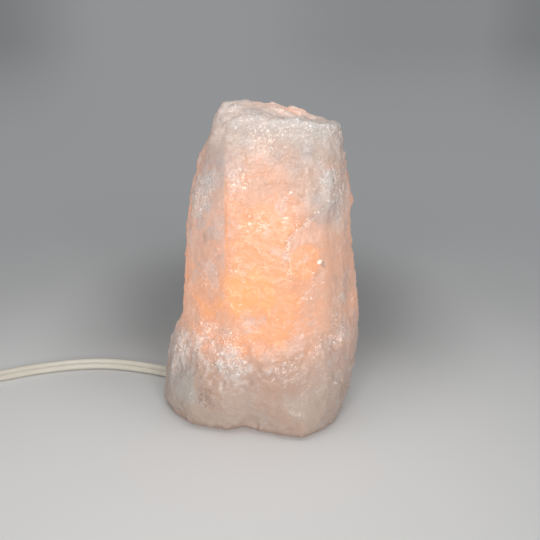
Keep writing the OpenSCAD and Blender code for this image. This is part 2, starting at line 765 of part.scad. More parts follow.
// What both shells leave open: the cord's way in at each end and the wheel's slot
module switch_openings() {
    opening_w = cord_w + slide_fit;
    opening_h = cord_t + slide_fit;
    translate([-switch_l / 2 - past, -opening_w / 2, split_z - opening_h / 2])
        cube([switch_l + 2 * past, opening_w, opening_h]);
    translate([0, wheel_y, wheel_z - slide_fit])
        cylinder(d = wheel_d + 4 * slide_fit, h = wheel_t + 2 * slide_fit);
}

module switch_base() {
    color(ivory) switch_place() difference() {
        union() {
            difference() {
                linear_extrude(split_z) switch_outline(0);
                translate([0, 0, switch_wall]) linear_extrude(split_z) switch_outline(switch_wall);
            }
            for (p = switch_screw_spots) translate(p) cylinder(d = boss_d, h = split_z);
            translate([0, wheel_y, 0]) cylinder(d = pin_boss_d, h = wheel_z - 2 * slide_fit);
        }
        switch_openings();
        for (p = switch_screw_spots) translate([p.x, p.y, -past]) {
            cylinder(d = switch_screw_d + slide_fit, h = split_z + 2 * past);
            cylinder(d = switch_screw_head_d + slide_fit, h = past + switch_screw_head_h + slide_fit);
        }
        translate([0, wheel_y, pin_seat]) cylinder(d = wheel_pin_d + 2 * press_fit, h = split_z);
    }
}

module switch_cover() {
    color(ivory) switch_place() difference() {
        union() {
            difference() {
                translate([0, 0, split_z]) linear_extrude(switch_h - split_z) switch_outline(0);
                translate([0, 0, split_z - past]) linear_extrude(switch_h - split_z - switch_wall + past)
                    switch_outline(switch_wall);
            }
            for (p = switch_screw_spots) translate([p.x, p.y, split_z])
                cylinder(d = boss_d, h = switch_h - split_z);
            translate([0, wheel_y, pin_boss_z])
                cylinder(d = pin_boss_d, h = switch_h - pin_seat - pin_boss_z);
        }
        switch_openings();
        for (p = switch_screw_spots) translate([p.x, p.y, split_z - past])
            cylinder(d = switch_screw_d + 2 * press_fit, h = past + switch_h - split_z - switch_wall);
        translate([0, wheel_y, split_z])
            cylinder(d = wheel_pin_d + 2 * press_fit, h = switch_h - split_z - pin_seat);
    }
}

module switch_screws() {
    color("#b9bcc0") switch_place() for (p = switch_screw_spots) translate([p.x, p.y, slide_fit]) {
        difference() {
            cylinder(d = switch_screw_head_d, h = switch_screw_head_h);
            translate([0, 0, -past]) linear_extrude(past + switch_screw_head_h / 2)
                square([switch_screw_head_d + past, slot_w], center = true);
        }
        translate([0, 0, switch_screw_head_h])
            cylinder(d = switch_screw_d, h = switch_h - switch_wall - switch_screw_head_h - 3 * slide_fit);
    }
}

flute_d = 2.4;
flutes = 20;

module thumb_wheel() {
    color("#5b4a3c") switch_place() translate([0, wheel_y, wheel_z]) difference() {
        union() {
            cylinder(d = wheel_d, h = wheel_t);
            translate([-cam_w / 2, -cam_w / 2, wheel_t]) cube([cam_w, cam_w, cam_h]);
        }
        translate([0, 0, -past]) cylinder(d = wheel_pin_d + 2 * slide_fit, h = wheel_t + cam_h + 2 * past);
        for (a = [0 : 360 / flutes : 359]) rotate(a) translate([wheel_d / 2 + flute_d / 4, 0, -past])
            cylinder(d = flute_d, h = wheel_t + 2 * past, $fn = 24);
    }
}

module wheel_pin() {
    color(chrome) switch_place() translate([0, wheel_y, pin_seat])
        cylinder(d = wheel_pin_d, h = switch_h - switch_wall);
}

// The live wire is cut, and ends at two brass posts that the leaf joins.
// The other wire runs whole under the wheel.
cord_stop = 27;
post_x = 21;
post_t = 3;
post_y = [0.6, 8];
post_top = 13.4;
leaf_y = 2.4;
leaf_z = 12;
leaf_h = 1.4;

module contact_posts() {
    color(brass) switch_place() each_side() translate([post_x, post_y[0], switch_wall])
        cube([post_t, post_y[1] - post_y[0], post_top - switch_wall]);
}

module contact_leaf() {
    color(brass) switch_place() translate([-post_x, leaf_y, leaf_z])
        cube([2 * post_x - contact_gap, contact_t, leaf_h]);
}

module live_wires() {
    color("#1d1d1f") switch_place() each_side() translate([post_x + post_t, wire_apart, split_z])
        rotate([0, 90, 0]) cylinder(d = wire_d, h = cord_stop - post_x - post_t);
}

function mirrored(route) =
    [for (i = [len(route) - 1 : -1 : 0]) [-route[i].x, route[i].y, route[i].z, 0]];

under_wheel_z = switch_wall + wire_d / 2 + slide_fit;
through_half = [
    [cord_stop, -wire_apart, split_z, 0], [24, -wire_apart, split_z, 0], [20, -1.7, 7.6, 0],
    [15.5, -0.6, 5.4, 0], [11.5, 0.9, 3.9, 0], [7, 1.8, under_wheel_z, 0]
];

module through_wire() {
    color("#f2f2ee") switch_place() sweep(concat(through_half, mirrored(through_half)), wire_section);
}

// Plug, lying flat with its blades along X

relief_l = 25;
relief_ribs = 4;
plug_body_x = plug_start.x + relief_l;
blade_root = 9;
blade_hole_d = 3.2;
blade_tip = 2;
blade_hole_in = 5;

module plug_place() {
    translate([plug_body_x, plug_start.y, plug_start.z]) children();
}

module plug_strain_relief() {
    tip = [cord_w + 1.4, cord_t + 1.4];
    root = [13, 9];
    groove = 1.2;
    groove_deep = 1;
    color(ivory) plug_place() difference() {
        hull() {
            translate([-relief_l, -tip.x / 2, -tip.y / 2]) cube([press_fit, tip.x, tip.y]);
            translate([-press_fit, -root.x / 2, -root.y / 2]) cube([press_fit, root.x, root.y]);
        }
        for (i = [1 : relief_ribs]) {
            back = i / (relief_ribs + 1);
            half = (root.x + (tip.x - root.x) * back) / 2;
            translate([-relief_l * back, 0, 0]) each_side_y()
                translate([-groove / 2, half - groove_deep, -root.y / 2]) cube([groove, root.x, root.y]);
        }
    }
}

// One blade from its root inside the body to its chamfered tip
module blade(w, side) {
    root = plug_l - blade_root;
    end = plug_l + blade_l;
    spot_y = side * blade_pitch / 2 + blade_t / 2;
    translate([0, spot_y, 0]) rotate([90, 0, 0]) linear_extrude(blade_t) polygon([
        [root, -w / 2], [end - blade_tip, -w / 2], [end, blade_tip - w / 2],
        [end, w / 2 - blade_tip], [end - blade_tip, w / 2], [root, w / 2]
    ]);
}

module drilled_blade(w, side) {
    difference() {
        blade(w, side);
        translate([plug_l + blade_l - blade_hole_in, side * blade_pitch / 2 - blade_t, 0]) rotate([-90, 0, 0])
            cylinder(d = blade_hole_d, h = 2 * blade_t);
    }
}

module narrow_blade() {
    color(brass) plug_place() drilled_blade(narrow_blade_w, 1);
}

module wide_blade() {
    color(brass) plug_place() drilled_blade(wide_blade_w, -1);
}

module plug_body() {
    corner = 4;
    grips = 4;
    grip_d = 6;
    grip_deep = 0.8;
    color(ivory) plug_place() difference() {
        translate([0, 0, -plug_h / 2]) linear_extrude(plug_h) offset(r = corner)
            translate([corner, corner - plug_w / 2]) square([plug_l - 2 * corner, plug_w - 2 * corner]);
        each_side_y() for (i = [1 : grips])
            translate([i * plug_l / (grips + 1), plug_w / 2 + grip_d / 2 - grip_deep, -plug_h])
                cylinder(d = grip_d, h = 2 * plug_h);
        blade(narrow_blade_w, 1);
        blade(wide_blade_w, -1);
    }
}

// How much cord the lamp has, and how close the coil's turns come to each other
function total(list) = list * [for (v = list) 1];
function route_length(route) =
    total([for (i = [1 : len(route) - 1]) norm(spot(route, i) - spot(route, i - 1))]);

coil_rings = swept(coil_route, coil_section);
coil_least_gap = min([
    for (i = [0 : len(coil_rings) - 1 - loop_rings / 2], j = [i + loop_rings / 2 : len(coil_rings) - 1])
        min([for (a = coil_rings[i], b = coil_rings[j]) norm(a - b)])
]);
cord_in_switch = 2 * cord_stop;
cord_total = route_length(lead_route) + cord_in_switch + route_length(run_route) + route_length(coil_route)
    + route_length(tail_route);

union() {  // cord_coil
    echo(coil_least_gap = coil_least_gap, cord_total = cord_total);
}

crystal_block();
bumper_feet();
holder_plate();
clip_feet();
clip_rivets();
left_clip();
right_clip();
cord_cap();
cap_screws();
cord_strain_relief();
line_wire();
neutral_wire();
lampholder_body();
terminal_screws();
centre_contact();
screw_shell();
bulb_tip_contact();
bulb_insulator();
bulb_screw_base();
bulb_glass();
bulb_stem();
bulb_support_wires();
bulb_filament();
cord_lead();
switch_base();
switch_cover();
switch_screws();
thumb_wheel();
wheel_pin();
contact_posts();
contact_leaf();
live_wires();
through_wire();
cord_run();
cord_coil();
cord_tie();
cord_tail();
plug_strain_relief();
plug_body();
narrow_blade();
wide_blade();
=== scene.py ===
import json
import math

import bpy
import numpy as np
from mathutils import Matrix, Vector, kdtree, noise


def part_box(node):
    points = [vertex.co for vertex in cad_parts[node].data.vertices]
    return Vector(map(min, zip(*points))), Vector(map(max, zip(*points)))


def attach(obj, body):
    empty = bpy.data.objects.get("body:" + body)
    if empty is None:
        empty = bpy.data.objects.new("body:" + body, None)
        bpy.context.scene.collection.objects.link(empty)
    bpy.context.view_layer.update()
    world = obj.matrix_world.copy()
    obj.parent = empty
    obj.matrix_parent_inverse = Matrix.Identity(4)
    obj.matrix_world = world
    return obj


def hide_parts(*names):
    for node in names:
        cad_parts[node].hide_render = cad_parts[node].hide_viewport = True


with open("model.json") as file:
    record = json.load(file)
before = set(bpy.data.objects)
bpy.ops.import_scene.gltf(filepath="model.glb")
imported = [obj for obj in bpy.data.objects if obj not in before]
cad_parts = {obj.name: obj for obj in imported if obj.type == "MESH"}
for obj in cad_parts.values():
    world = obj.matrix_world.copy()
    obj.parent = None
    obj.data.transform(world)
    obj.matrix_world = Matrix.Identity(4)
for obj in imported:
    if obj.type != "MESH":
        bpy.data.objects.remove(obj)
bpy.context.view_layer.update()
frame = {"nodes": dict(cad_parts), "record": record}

# Looks for a rough rose quartz table lamp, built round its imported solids.
# Metres, +Z up, the broad front face towards -Y, the bulb on the Z axis.
nodes = frame["nodes"]
mm = 0.001
print("frame loaded:", len(nodes), "solids")


# Camera, first of all, at the photograph's angle
cameraView = {
    "lens": 72.2,  # mm, on a sensor 36 mm wide
    "sensor": 36,
    "place": (0.0059, -0.6328, 0.2795),
    "pitch": 16.5,  # degrees below level
    "nearest": 0.01,
}


def makeCamera(view):
    data = bpy.data.cameras.new("camera")
    data.lens = view["lens"]
    data.sensor_width = view["sensor"]
    data.clip_start = view["nearest"]
    camera = bpy.data.objects.new("camera", data)
    camera.location = view["place"]
    camera.rotation_euler = (math.radians(90 - view["pitch"]), 0, 0)
    bpy.context.scene.collection.objects.link(camera)
    bpy.context.scene.camera = camera


makeCamera(cameraView)
print("camera placed")


# Mesh helpers

def newPiece(name, points, faces, body):
    mesh = bpy.data.meshes.new(name)
    mesh.from_pydata([tuple(p) for p in points], [], faces)
    mesh.validate()
    mesh.polygons.foreach_set("use_smooth", [True] * len(mesh.polygons))
    piece = bpy.data.objects.new(name, mesh)
    bpy.context.scene.collection.objects.link(piece)
    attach(piece, body)
    return piece


def ringFaces(rings, sides):
    # Side faces between rings of points, and one cap at each end
    faces = []
    for i in range(rings - 1):
        for j in range(sides):
            a, b = i * sides + j, i * sides + (j + 1) % sides
            faces.append((a, b, b + sides, a + sides))
    last = (rings - 1) * sides
    faces.append(tuple(reversed(range(sides))))
    faces.append(tuple(range(last, last + sides)))
    return faces


# Flat twin cord. The routes are part.scad's, point for point, in mm: x, y, z and roll.
cord = {
    "width": 7.6 * mm,
    "thick": 3.8 * mm,
    "lobeSides": 15,  # points round each of its two lobes
    "webAngle": 150,  # degrees from a lobe's outer side to the groove
    "steps": 5,  # rings from one point of a route to the next
    "exit": (-26 * mm, 23.4 * mm, 5.8 * mm),
    "onEdge": 90,  # the roll at which it stands on its narrow side
}
leadRoute = [
    (-7.4, 6.7, 5.8, 90), (-16.4, 14.8, 5.8, 90), (-26, 23.4, 5.8, 90), (-32, 28.8, 5.5, 90),
    (-38.6, 34.7, 4.8, 90), (-45.3, 40.6, 4.1, 90), (-52.4, 46.4, 3.8, 90), (-60, 51.8, 3.8, 90),
    (-68, 56.4, 3.8, 90), (-77, 60.6, 3.8, 90), (-87, 64.4, 3.8, 90), (-98, 67.6, 3.8, 90),
    (-110, 69.3, 3.8, 90), (-122, 68.7, 3.8, 90), (-134, 66.2, 3.8, 90), (-146, 62.2, 3.8, 90),
    (-157, 57.6, 3.8, 90), (-167, 52.2, 3.8, 90), (-177, 46.6, 3.8, 90), (-187, 41.4, 3.8, 75),
    (-197, 37.4, 4.8, 50), (-206, 35.5, 6.8, 22), (-214, 35, 8.4, 0), (-220, 35, 8.5, 0),
    (-225, 35, 8.5, 0),
]
runRoute = [
    (-279, 35, 8.5, 0), (-283, 35, 8.5, 0), (-288, 35, 7.9, 18), (-293.5, 35, 6.6, 45),
    (-299, 35, 5.3, 72), (-304, 35, 4.8, 90), (-308.4, 35, 4.8, 90),
]
tailRoute = [
    (-308.4, -60.4, 12.9, 90), (-303.5, -60.4, 12.9, 90), (-297.5, -60.4, 12.1, 72),
    (-291.5, -60.4, 10.4, 45), (-285.5, -60.4, 8.6, 18), (-279, -60.4, 7.5, 0), (-272, -60.4, 7.5, 0),
]
coil = {
    "middle": (-316, -12.7),
    "turns": 5.5,
    "startAngle": 90,
    "innerRadius": 35.6,
    "pitch": 4.4,  # from one turn to the next beside it
    "layer": 8.1,  # from the lower layer to the upper
    "z": 4.8,
    "rings": 72,  # in one turn
}


def coilSpot(t):
    # The coil spirals in to half way, climbs a layer there and spirals out
    half = t - coil["turns"] / 2
    r = coil["innerRadius"] + coil["pitch"] * abs(half)
    a = math.radians(coil["startAngle"] + 360 * t)
    share = max(0, min(1, 2 * half + 0.5))
    climb = coil["layer"] * share * share * (3 - 2 * share)
    x = coil["middle"][0] + r * math.cos(a)
    y = coil["middle"][1] + r * math.sin(a)
    return (x, y, coil["z"] + climb, cord["onEdge"])


def smoothRoute(points, steps):
    # A smooth curve through given points; the roll goes with it
    p = np.array(points, float)
    p = np.vstack([2 * p[0] - p[1], p, 2 * p[-1] - p[-2]])
    made = []
    for i in range(1, len(p) - 2):
        for k in range(steps):
            t = k / steps
            a, b, c, d = p[i - 1 : i + 3]
            made.append(0.5 * (2 * b + (c - a) * t + (2 * a - 5 * b + 4 * c - d) * t * t
                               + (3 * b - a - 3 * c + d) * t ** 3))
    made.append(p[-2])
    return np.array(made)


def cordSection():
    # Two round lobes with a groove between them on each side
    r = cord["thick"] / 2
    lobe = cord["width"] / 2 - r
    points = []
    for side in (1, -1):
        for k in range(cord["lobeSides"]):
            a = math.radians(cord["webAngle"] * (2 * k / (cord["lobeSides"] - 1) - 1))
            points.append((side * (lobe + r * math.cos(a)), side * r * math.sin(a)))
    return points


def aheadOf(places, i):
    # The way a path runs at one of its points
    return Vector(places[min(i + 1, len(places) - 1)] - places[max(i - 1, 0)]).normalized()


def sweepAlong(name, route, section, body):
    # The section's first axis is level at roll 0 and upright at roll 90
    places = route[:, :3] * mm
    points = []
    up = Vector((0, 0, 1))
    for i, place in enumerate(places):
        ahead = aheadOf(places, i)
        side = up.cross(ahead).normalized()
        over = ahead.cross(side)
        roll = math.radians(route[i][3])
        wide = math.cos(roll) * side + math.sin(roll) * over
        thin = ahead.cross(wide)
        points += [Vector(place) + u * wide + v * thin for u, v in section]
    piece = newPiece(name, points, ringFaces(len(places), len(section)), body)
    return piece, [tuple(p) for p in places]


def lengthOf(path):
    return sum(math.dist(a, b) for a, b in zip(path, path[1:]))


def makeCords():
    section = cordSection()
    lead, leadPath = sweepAlong(
        "cord_to_switch", smoothRoute(leadRoute, cord["steps"]), section, "holder")
    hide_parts("cord_lead")
    turns = [coilSpot(i / coil["rings"]) for i in range(int(coil["turns"] * coil["rings"]) + 1)]
    run = smoothRoute(runRoute, cord["steps"])
    tail = smoothRoute(tailRoute, cord["steps"])
    route = np.vstack([run, np.array(turns), tail])
    rest, restPath = sweepAlong("cord_to_plug", route, section, "holder")
    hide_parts("cord_run", "cord_coil", "cord_tail")
    return (lead, leadPath), (rest, restPath)


# The flat strap round all the turns: once about them, then its end lies over its start
tie = {
    "width": 5 * mm,
    "thick": 0.7 * mm,
    "edge": 0.3 * mm,  # radius of its long edges
    "left": -365.45 * mm,
    "right": -350.95 * mm,
    "low": 0.35 * mm,
    "high": 17.35 * mm,
    "y": -12.7 * mm,
    "corner": 1.7 * mm,
    "cornerSteps": 6,
    "startAt": -354 * mm,
    "endAt": -362 * mm,
    "lift": 1.02,  # of its thickness, from the start to the end that lies over it
}


def strapPath(t):
    # Places along the strap's middle, in x and z
    r = t["corner"]
    over = t["high"] + t["thick"] * t["lift"]
    corners = [(t["left"] + r, t["high"] - r, 90), (t["left"] + r, t["low"] + r, 180),
               (t["right"] - r, t["low"] + r, 270), (t["right"] - r, over - r, 0)]
    path = [(t["startAt"], t["high"])]
    for x, z, first in corners:
        for k in range(t["cornerSteps"] + 1):
            a = math.radians(first + 90 * k / t["cornerSteps"])
            path.append((x + r * math.cos(a), z + r * math.sin(a)))
    path += [(t["startAt"], over), (t["endAt"], over)]
    return path


def strapSection(t):
    # A thin strip with rounded edges
    u, v = t["width"] / 2 - t["edge"], t["thick"] / 2 - t["edge"]
    section = []
    for x, y, first in ((u, v, 0), (-u, v, 90), (-u, -v, 180), (u, -v, 270)):
        for turn in (0, 30, 60, 90):
            a = math.radians(first + turn)
            section.append((x + t["edge"] * math.cos(a), y + t["edge"] * math.sin(a)))
    return section


def makeTie():
    path = [Vector((x, 0, z)) for x, z in strapPath(tie)]
    section = strapSection(tie)
    across = Vector((0, 1, 0))
    points = []
    for i, place in enumerate(path):
        thin = aheadOf(path, i).cross(across)
        points += [place + Vector((0, tie["y"], 0)) + u * across + v * thin for u, v in section]
    strap = newPiece("cord_strap", points, ringFaces(len(path), len(section)), "holder")
    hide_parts("cord_tie")
    return strap


(leadCord, leadPath), (plugCord, plugPath) = makeCords()
tieStrap = makeTie()
print("cords made:", round(lengthOf(leadPath), 3), "and", round(lengthOf(plugPath), 3), "m")


# Shader maths

class Wire:
    # A node's socket that takes part in sums, so shader maths reads as Python
    def __init__(self, shader, socket):
        self.shader = shader
        self.socket = socket

    def maths(self, operation, *values):
        return self.shader.node("Math", {"operation": operation}, dict(enumerate(values)))

    def __add__(self, other):
        return self.maths("ADD", self, other)

    def __radd__(self, other):
        return self.maths("ADD", other, self)

    def __sub__(self, other):
        return self.maths("SUBTRACT", self, other)

    def __rsub__(self, other):
        return self.maths("SUBTRACT", other, self)

    def __mul__(self, other):
        return self.maths("MULTIPLY", self, other)

    def __rmul__(self, other):
        return self.maths("MULTIPLY", other, self)

    def __truediv__(self, other):
        return self.maths("DIVIDE", self, other)

    def __rtruediv__(self, other):
        return self.maths("DIVIDE", other, self)

    def __abs__(self):
        return self.maths("ABSOLUTE", self)


class Shader:
    def __init__(self, owner):
        # A name makes a new material; the world is handed in as it is
        self.owner = bpy.data.materials.new(owner) if isinstance(owner, str) else owner
        self.owner.use_nodes = True
        self.tree = self.owner.node_tree
        self.tree.nodes.clear()

    def node(self, kind, settings=None, sockets=None, output=0):
        # Settings come first, because some of them change which sockets there are
        made = self.tree.nodes.new("ShaderNode" + kind)
        for name, value in (settings or {}).items():
            if name == "stops":
                ramp = made.color_ramp
                while len(ramp.elements) < len(value):
                    ramp.elements.new(1)
                for element, (position, colour) in zip(ramp.elements, value):
                    element.position = position
                    element.color = (*colour, 1)
            else:
                setattr(made, name, value)
        for name, value in (sockets or {}).items():
            socket = made.inputs[name]
            if isinstance(value, Wire):
                self.tree.links.new(value.socket, socket)
            elif socket.type == "RGBA":
                socket.default_value = (*value, 1)
            else:
                socket.default_value = value
        return Wire(self, made.outputs[output]) if len(made.outputs) else None

    def place(self):
        # A place on the piece at rest, in metres
        return self.node("TexCoord", output="Object")

    def split(self, vector):
        made = self.node("SeparateXYZ", {}, {0: vector}).socket.node
        return [Wire(self, output) for output in made.outputs]

    def join(self, x, y, z):
        return self.node("CombineXYZ", {}, {0: x, 1: y, 2: z})

    def vector(self, operation, a, b=(0, 0, 0), output="Vector"):
        return self.node("VectorMath", {"operation": operation}, {0: a, 1: b}, output=output)

    def distance(self, a, b):
        return self.vector("DISTANCE", a, b, "Value")

    def noise(self, vector, size, detail=4, roughness=0.55, output="Fac"):
        return self.node("TexNoise", {}, {"Vector": vector, "Scale": 1 / size, "Detail": detail,
                                          "Roughness": roughness}, output=output)

    def seam(self, vector, size, detail=4, roughness=0.55):
        # 0 along the winding lines where noise crosses its middle
        return abs(self.noise(vector, size, detail, roughness) - 0.5)

    def warped(self, vector, size, by):
        # The place moved about by noise, so that edges run unevenly
        shift = self.vector("SUBTRACT", self.noise(vector, size, output="Color"), (0.5, 0.5, 0.5))
        return self.vector("ADD", vector, self.vector("MULTIPLY", shift, (by, by, by)))

    def cells(self, vector, size, output="Distance"):
        return self.node("TexVoronoi", {}, {"Vector": vector, "Scale": 1 / size}, output=output)

    def most(self, a, b):
        return self.node("Math", {"operation": "MAXIMUM"}, {0: a, 1: b})

    def least(self, a, b):
        return self.node("Math", {"operation": "MINIMUM"}, {0: a, 1: b})

    def trait(self, name):
        # A number that the mesh holds at each of its points
        return self.node("Attribute", {"attribute_name": name}, output="Fac")

    def fromSegment(self, place, a, b):
        # How far a place is from a straight line between two points
        along = [q - p for p, q in zip(a, b)]
        length = sum(v * v for v in along)
        off = self.vector("SUBTRACT", place, a)
        share = self.vector("DOT_PRODUCT", off, along, "Value") / length
        share = self.node("Clamp", {}, {0: share, 1: 0.0, 2: 1.0})
        return self.distance(off, self.vector("MULTIPLY", self.join(share, share, share), along))

    def step(self, value, low, high):
        # 0 at low, 1 at high, eased between
        return self.node("MapRange", {"interpolation_type": "SMOOTHSTEP"},
                         {"Value": value, "From Min": low, "From Max": high})

    def ball(self, place, middle, radius):
        # 1 in the middle of a round patch, 0 from its radius on
        return self.step(self.distance(place, middle), radius, radius * 0.4)

    def ramp(self, value, stops):
        return self.node("ValToRGB", {"stops": stops}, {"Fac": value})

    def blend(self, factor, a, b):
        # Sockets 6 and 7 are the ones that take colours
        return self.node("Mix", {"data_type": "RGBA"}, {0: factor, 6: a, 7: b}, output=2)

    def bump(self, height, distance, normal=None):
        sockets = {"Height": height, "Distance": distance}
        if normal is not None:
            sockets["Normal"] = normal
        return self.node("Bump", {}, sockets)

    def finish(self, sockets):
        surface = self.node("BsdfPrincipled", {}, sockets)
        self.node("OutputMaterial", {}, {"Surface": surface})
        return self.owner


# The stone's mesh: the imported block, remeshed finely and broken with round-bottomed scoops
stone = {
    "voxel": 1.2 * mm,
    "seed": 7,
    "firstSmooth": 0.6,  # share of the way to the neighbours' mean
    "swell": 0.7 * mm,  # put on first, for the scoops to take off
    # How many, least and greatest radius, least and greatest depth, all in mm
    "sweeps": (26, 60, 130, 0.3, 0.8),
    "scoops": (150, 10, 26, 0.4, 1.1),
    "chips": (620, 3, 10, 0.3, 0.9),
    "ridgeChips": (560, 2.0, 6, 0.35, 0.95),
    "brightChip": (1, 4, 4.2, 0.9, 1.0),
    "brightChipAt": (35, -26, 105),
    "scoopTilt": 0.12,
    "sweepsAbove": 45,  # mm
    "chipEdges": 0.9,  # chips go only on the edges sharper than this share of the stone
    "facets": 1500,
    "facetTilt": 0.09,
    "ridgeFacets": 300,
    "ridgeTilt": 0.18,
    "spike": 0.16 * mm,  # points that stand out further than this from their neighbours are worn down
    "spikePasses": 6,
    "grain": 0.22,  # mm
    "grainScale": 160,
    "edgePasses": 4,
    # The front's broad faces, which stay smooth
    "front": -0.55,  # a normal's y on the front is below this
    "calmBelow": (7, 40),  # heights in mm
    "calmAbove": 60,
    "calmFacets": 0.45,  # share of the facets' tilt that they get
    # What stays as it was packed: the bore, the recess, the cord's groove and the sawn base
    "recess": 24 * mm,
    "clear": 5 * mm,  # stone round the recess that no scoop reaches
    "boreEnds": (105 * mm, 112 * mm),
    "grooveAngle": 138,
    "grooveHalf": 6 * mm,
    "grooveTop": 12.5 * mm,
    "grooveFade": 4 * mm,
    "sawn": (0.2 * mm, 1.6 * mm),
    # The long crack on the front, as x and z in mm
    "crack": [(40.3, 141.6), (28.8, 132), (15.6, 121), (14.5, 107), (18.5, 97)],
    "crackStep": 0.4 * mm,  # how far the stone at its lower right lies back
    "crackReach": 20 * mm,
    # The crest of the broken ridge on the front, and its crushed band's width above and below the crest
    "ridge": [(-60, 40), (-48, 50), (-36, 50), (-20, 46), (-8, 44), (4, 42), (15, 44), (25, 50), (37, 57),
              (56, 56)],
    "ridgeAbove": (5, 8),  # at the right, and what is added to it at the left
    "ridgeBelow": (4, 10),
    "ridgeThin": 0.45,  # the band's strength at the right, where it is 1 at the left
    "ridgeChipped": 0.25,  # chips go where it is stronger than this
}


def smoothStep(x, low, high):
    t = np.clip((x - low) / (high - low), 0, 1)
    return t * t * (3 - 2 * t)


def meshArrays(mesh):
    points = np.empty(len(mesh.vertices) * 3)
    mesh.vertices.foreach_get("co", points)
    normals = np.empty(len(mesh.vertices) * 3)
    mesh.vertex_normals.foreach_get("vector", normals)
    edges = np.empty(len(mesh.edges) * 2, int)
    mesh.edges.foreach_get("vertices", edges)
    return points.reshape(-1, 3), normals.reshape(-1, 3), edges.reshape(-1, 2)


def neighbourMean(values, edges):
    total = np.zeros_like(values)
    count = np.bincount(edges.ravel(), minlength=len(values)).astype(float)
    np.add.at(total, edges[:, 0], values[edges[:, 1]])
    np.add.at(total, edges[:, 1], values[edges[:, 0]])
    return total / (count[:, None] if values.ndim > 1 else count)


def standsOut(p, normals, edges):
    # How far each point stands out from its neighbours
    return ((p - neighbourMean(p, edges)) * normals).sum(1)


def freeOfFittings(p):
    # 1 on the broken outside, 0 on what stays as it was packed
    recess, clear = stone["recess"], stone["clear"]
    outside = smoothStep(np.hypot(p[:, 0], p[:, 1]), recess + clear * 0.3, recess + clear)
    outside = np.maximum(outside, smoothStep(p[:, 2], *stone["boreEnds"]))
    a = math.radians(stone["grooveAngle"])
    along = p[:, 0] * math.cos(a) + p[:, 1] * math.sin(a)
    across = np.abs(p[:, 1] * math.cos(a) - p[:, 0] * math.sin(a))
    half, top = stone["grooveHalf"], stone["grooveTop"]
    groove = (along > 0) * (1 - smoothStep(across, half, 1.6 * half))
    groove *= 1 - smoothStep(p[:, 2], top, top + stone["grooveFade"])
    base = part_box("crystal_block")[0][2]
    low, high = stone["sawn"]
    return outside * (1 - groove) * smoothStep(p[:, 2], base + low, base + high)


def scoopOut(p, normals, weight, tone, picks, sizes, rng):
    # Pushes the surface off round balls that stand outside it; they meet in sharp rims
    count, leastRadius, mostRadius, leastDepth, mostDepth = sizes
    for i in rng.choice(picks, min(count, len(picks)), replace=False):
        radius = rng.uniform(leastRadius, mostRadius) * mm
        depth = rng.uniform(leastDepth, mostDepth) * mm
        tilt = rng.normal(0, stone["scoopTilt"], 3)
        shade = rng.uniform(-1, 1)
        away = normals[i] + tilt
        centre = p[i] + away / np.linalg.norm(away) * (radius - depth)
        reach = math.sqrt(2 * radius * depth)  # how wide a ball that deep cuts into a flat face
        fromSpot = np.linalg.norm(p - p[i], axis=1)
        near = np.nonzero(fromSpot < 2 * reach)[0]
        off = p[near] - centre
        far = np.linalg.norm(off, axis=1)
        cut = far < radius
        near, off, far = near[cut], off[cut], far[cut]
        share = weight[near] * (1 - smoothStep(fromSpot[near], 1.3 * reach, 2 * reach))
        p[near] += off * ((radius / far - 1) * share)[:, None]
        tone[near] += (shade - tone[near]) * share


def breakFlat(p, normals, weight, picks, count, tilt, rng):
    # Small flat facets: each spot's nearest seed tips it, with a tiny step between two seeds
    tree = kdtree.KDTree(count)
    seeds = rng.choice(picks, count, replace=False)
    for k, i in enumerate(seeds):
        tree.insert(Vector(p[i]), k)
    tree.balance()
    slopes = rng.normal(0, tilt, (count, 3))
    start = p.copy()
    for i in picks:
        spot, k, _ = tree.find(Vector(start[i]))
        rise = float(slopes[k] @ (start[i] - np.array(spot)))
        p[i] += normals[i] * (rise * weight[i])


def fromLine(p, line):
    # How far places lie from a line on the front, and on which side of it
    best = np.full(len(p), np.inf)
    side = np.zeros(len(p))
    line = np.array(line) * mm
    for a, b in zip(line, line[1:]):
        along = b - a
        t = np.clip(((p[:, [0, 2]] - a) @ along) / (along @ along), 0, 1)
        off = p[:, [0, 2]] - a - t[:, None] * along
        far = np.linalg.norm(off, axis=1)
        nearer = far < best
        best[nearer] = far[nearer]
        side[nearer] = (along[0] * off[:, 1] - along[1] * off[:, 0])[nearer]
    return best, side


def besideCrack(p):
    # 1 at the crack, falling to 0 within its reach, on its lower right side only
    best, side = fromLine(p, stone["crack"])
    inFront = p[:, 1] < -15 * mm
    return np.where(inFront & (side > 0), 1 - smoothStep(best, 0, stone["crackReach"]), 0)


def ridgeBand(p):
    # The crushed white band on the ridge: wide left of the middle, thin to the right
    best, side = fromLine(p, stone["ridge"])
    left = smoothStep(-p[:, 0], 2 * mm, 12 * mm)
    above, below = [(width + more * left) * mm for width, more in (stone["ridgeAbove"], stone["ridgeBelow"])]
    reach = np.where(side > 0, above, below)
    front = smoothStep(-p[:, 1], -22 * mm, -10 * mm)
    strength = stone["ridgeThin"] + (1 - stone["ridgeThin"]) * left
    return (1 - smoothStep(best, 0.2 * reach, 1.3 * reach)) * front * strength


def fineCopy(name, source):
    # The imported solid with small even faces
    piece = bpy.data.objects.new(name, source.data.copy())
    bpy.context.scene.collection.objects.link(piece)
    remesh = piece.modifiers.new("fine", "REMESH")
    remesh.mode = "VOXEL"
    remesh.voxel_size = stone["voxel"]
    evaluated = piece.evaluated_get(bpy.context.evaluated_depsgraph_get())
    fine = bpy.data.meshes.new_from_object(evaluated)
    piece.modifiers.clear()
    piece.data = fine
    return piece


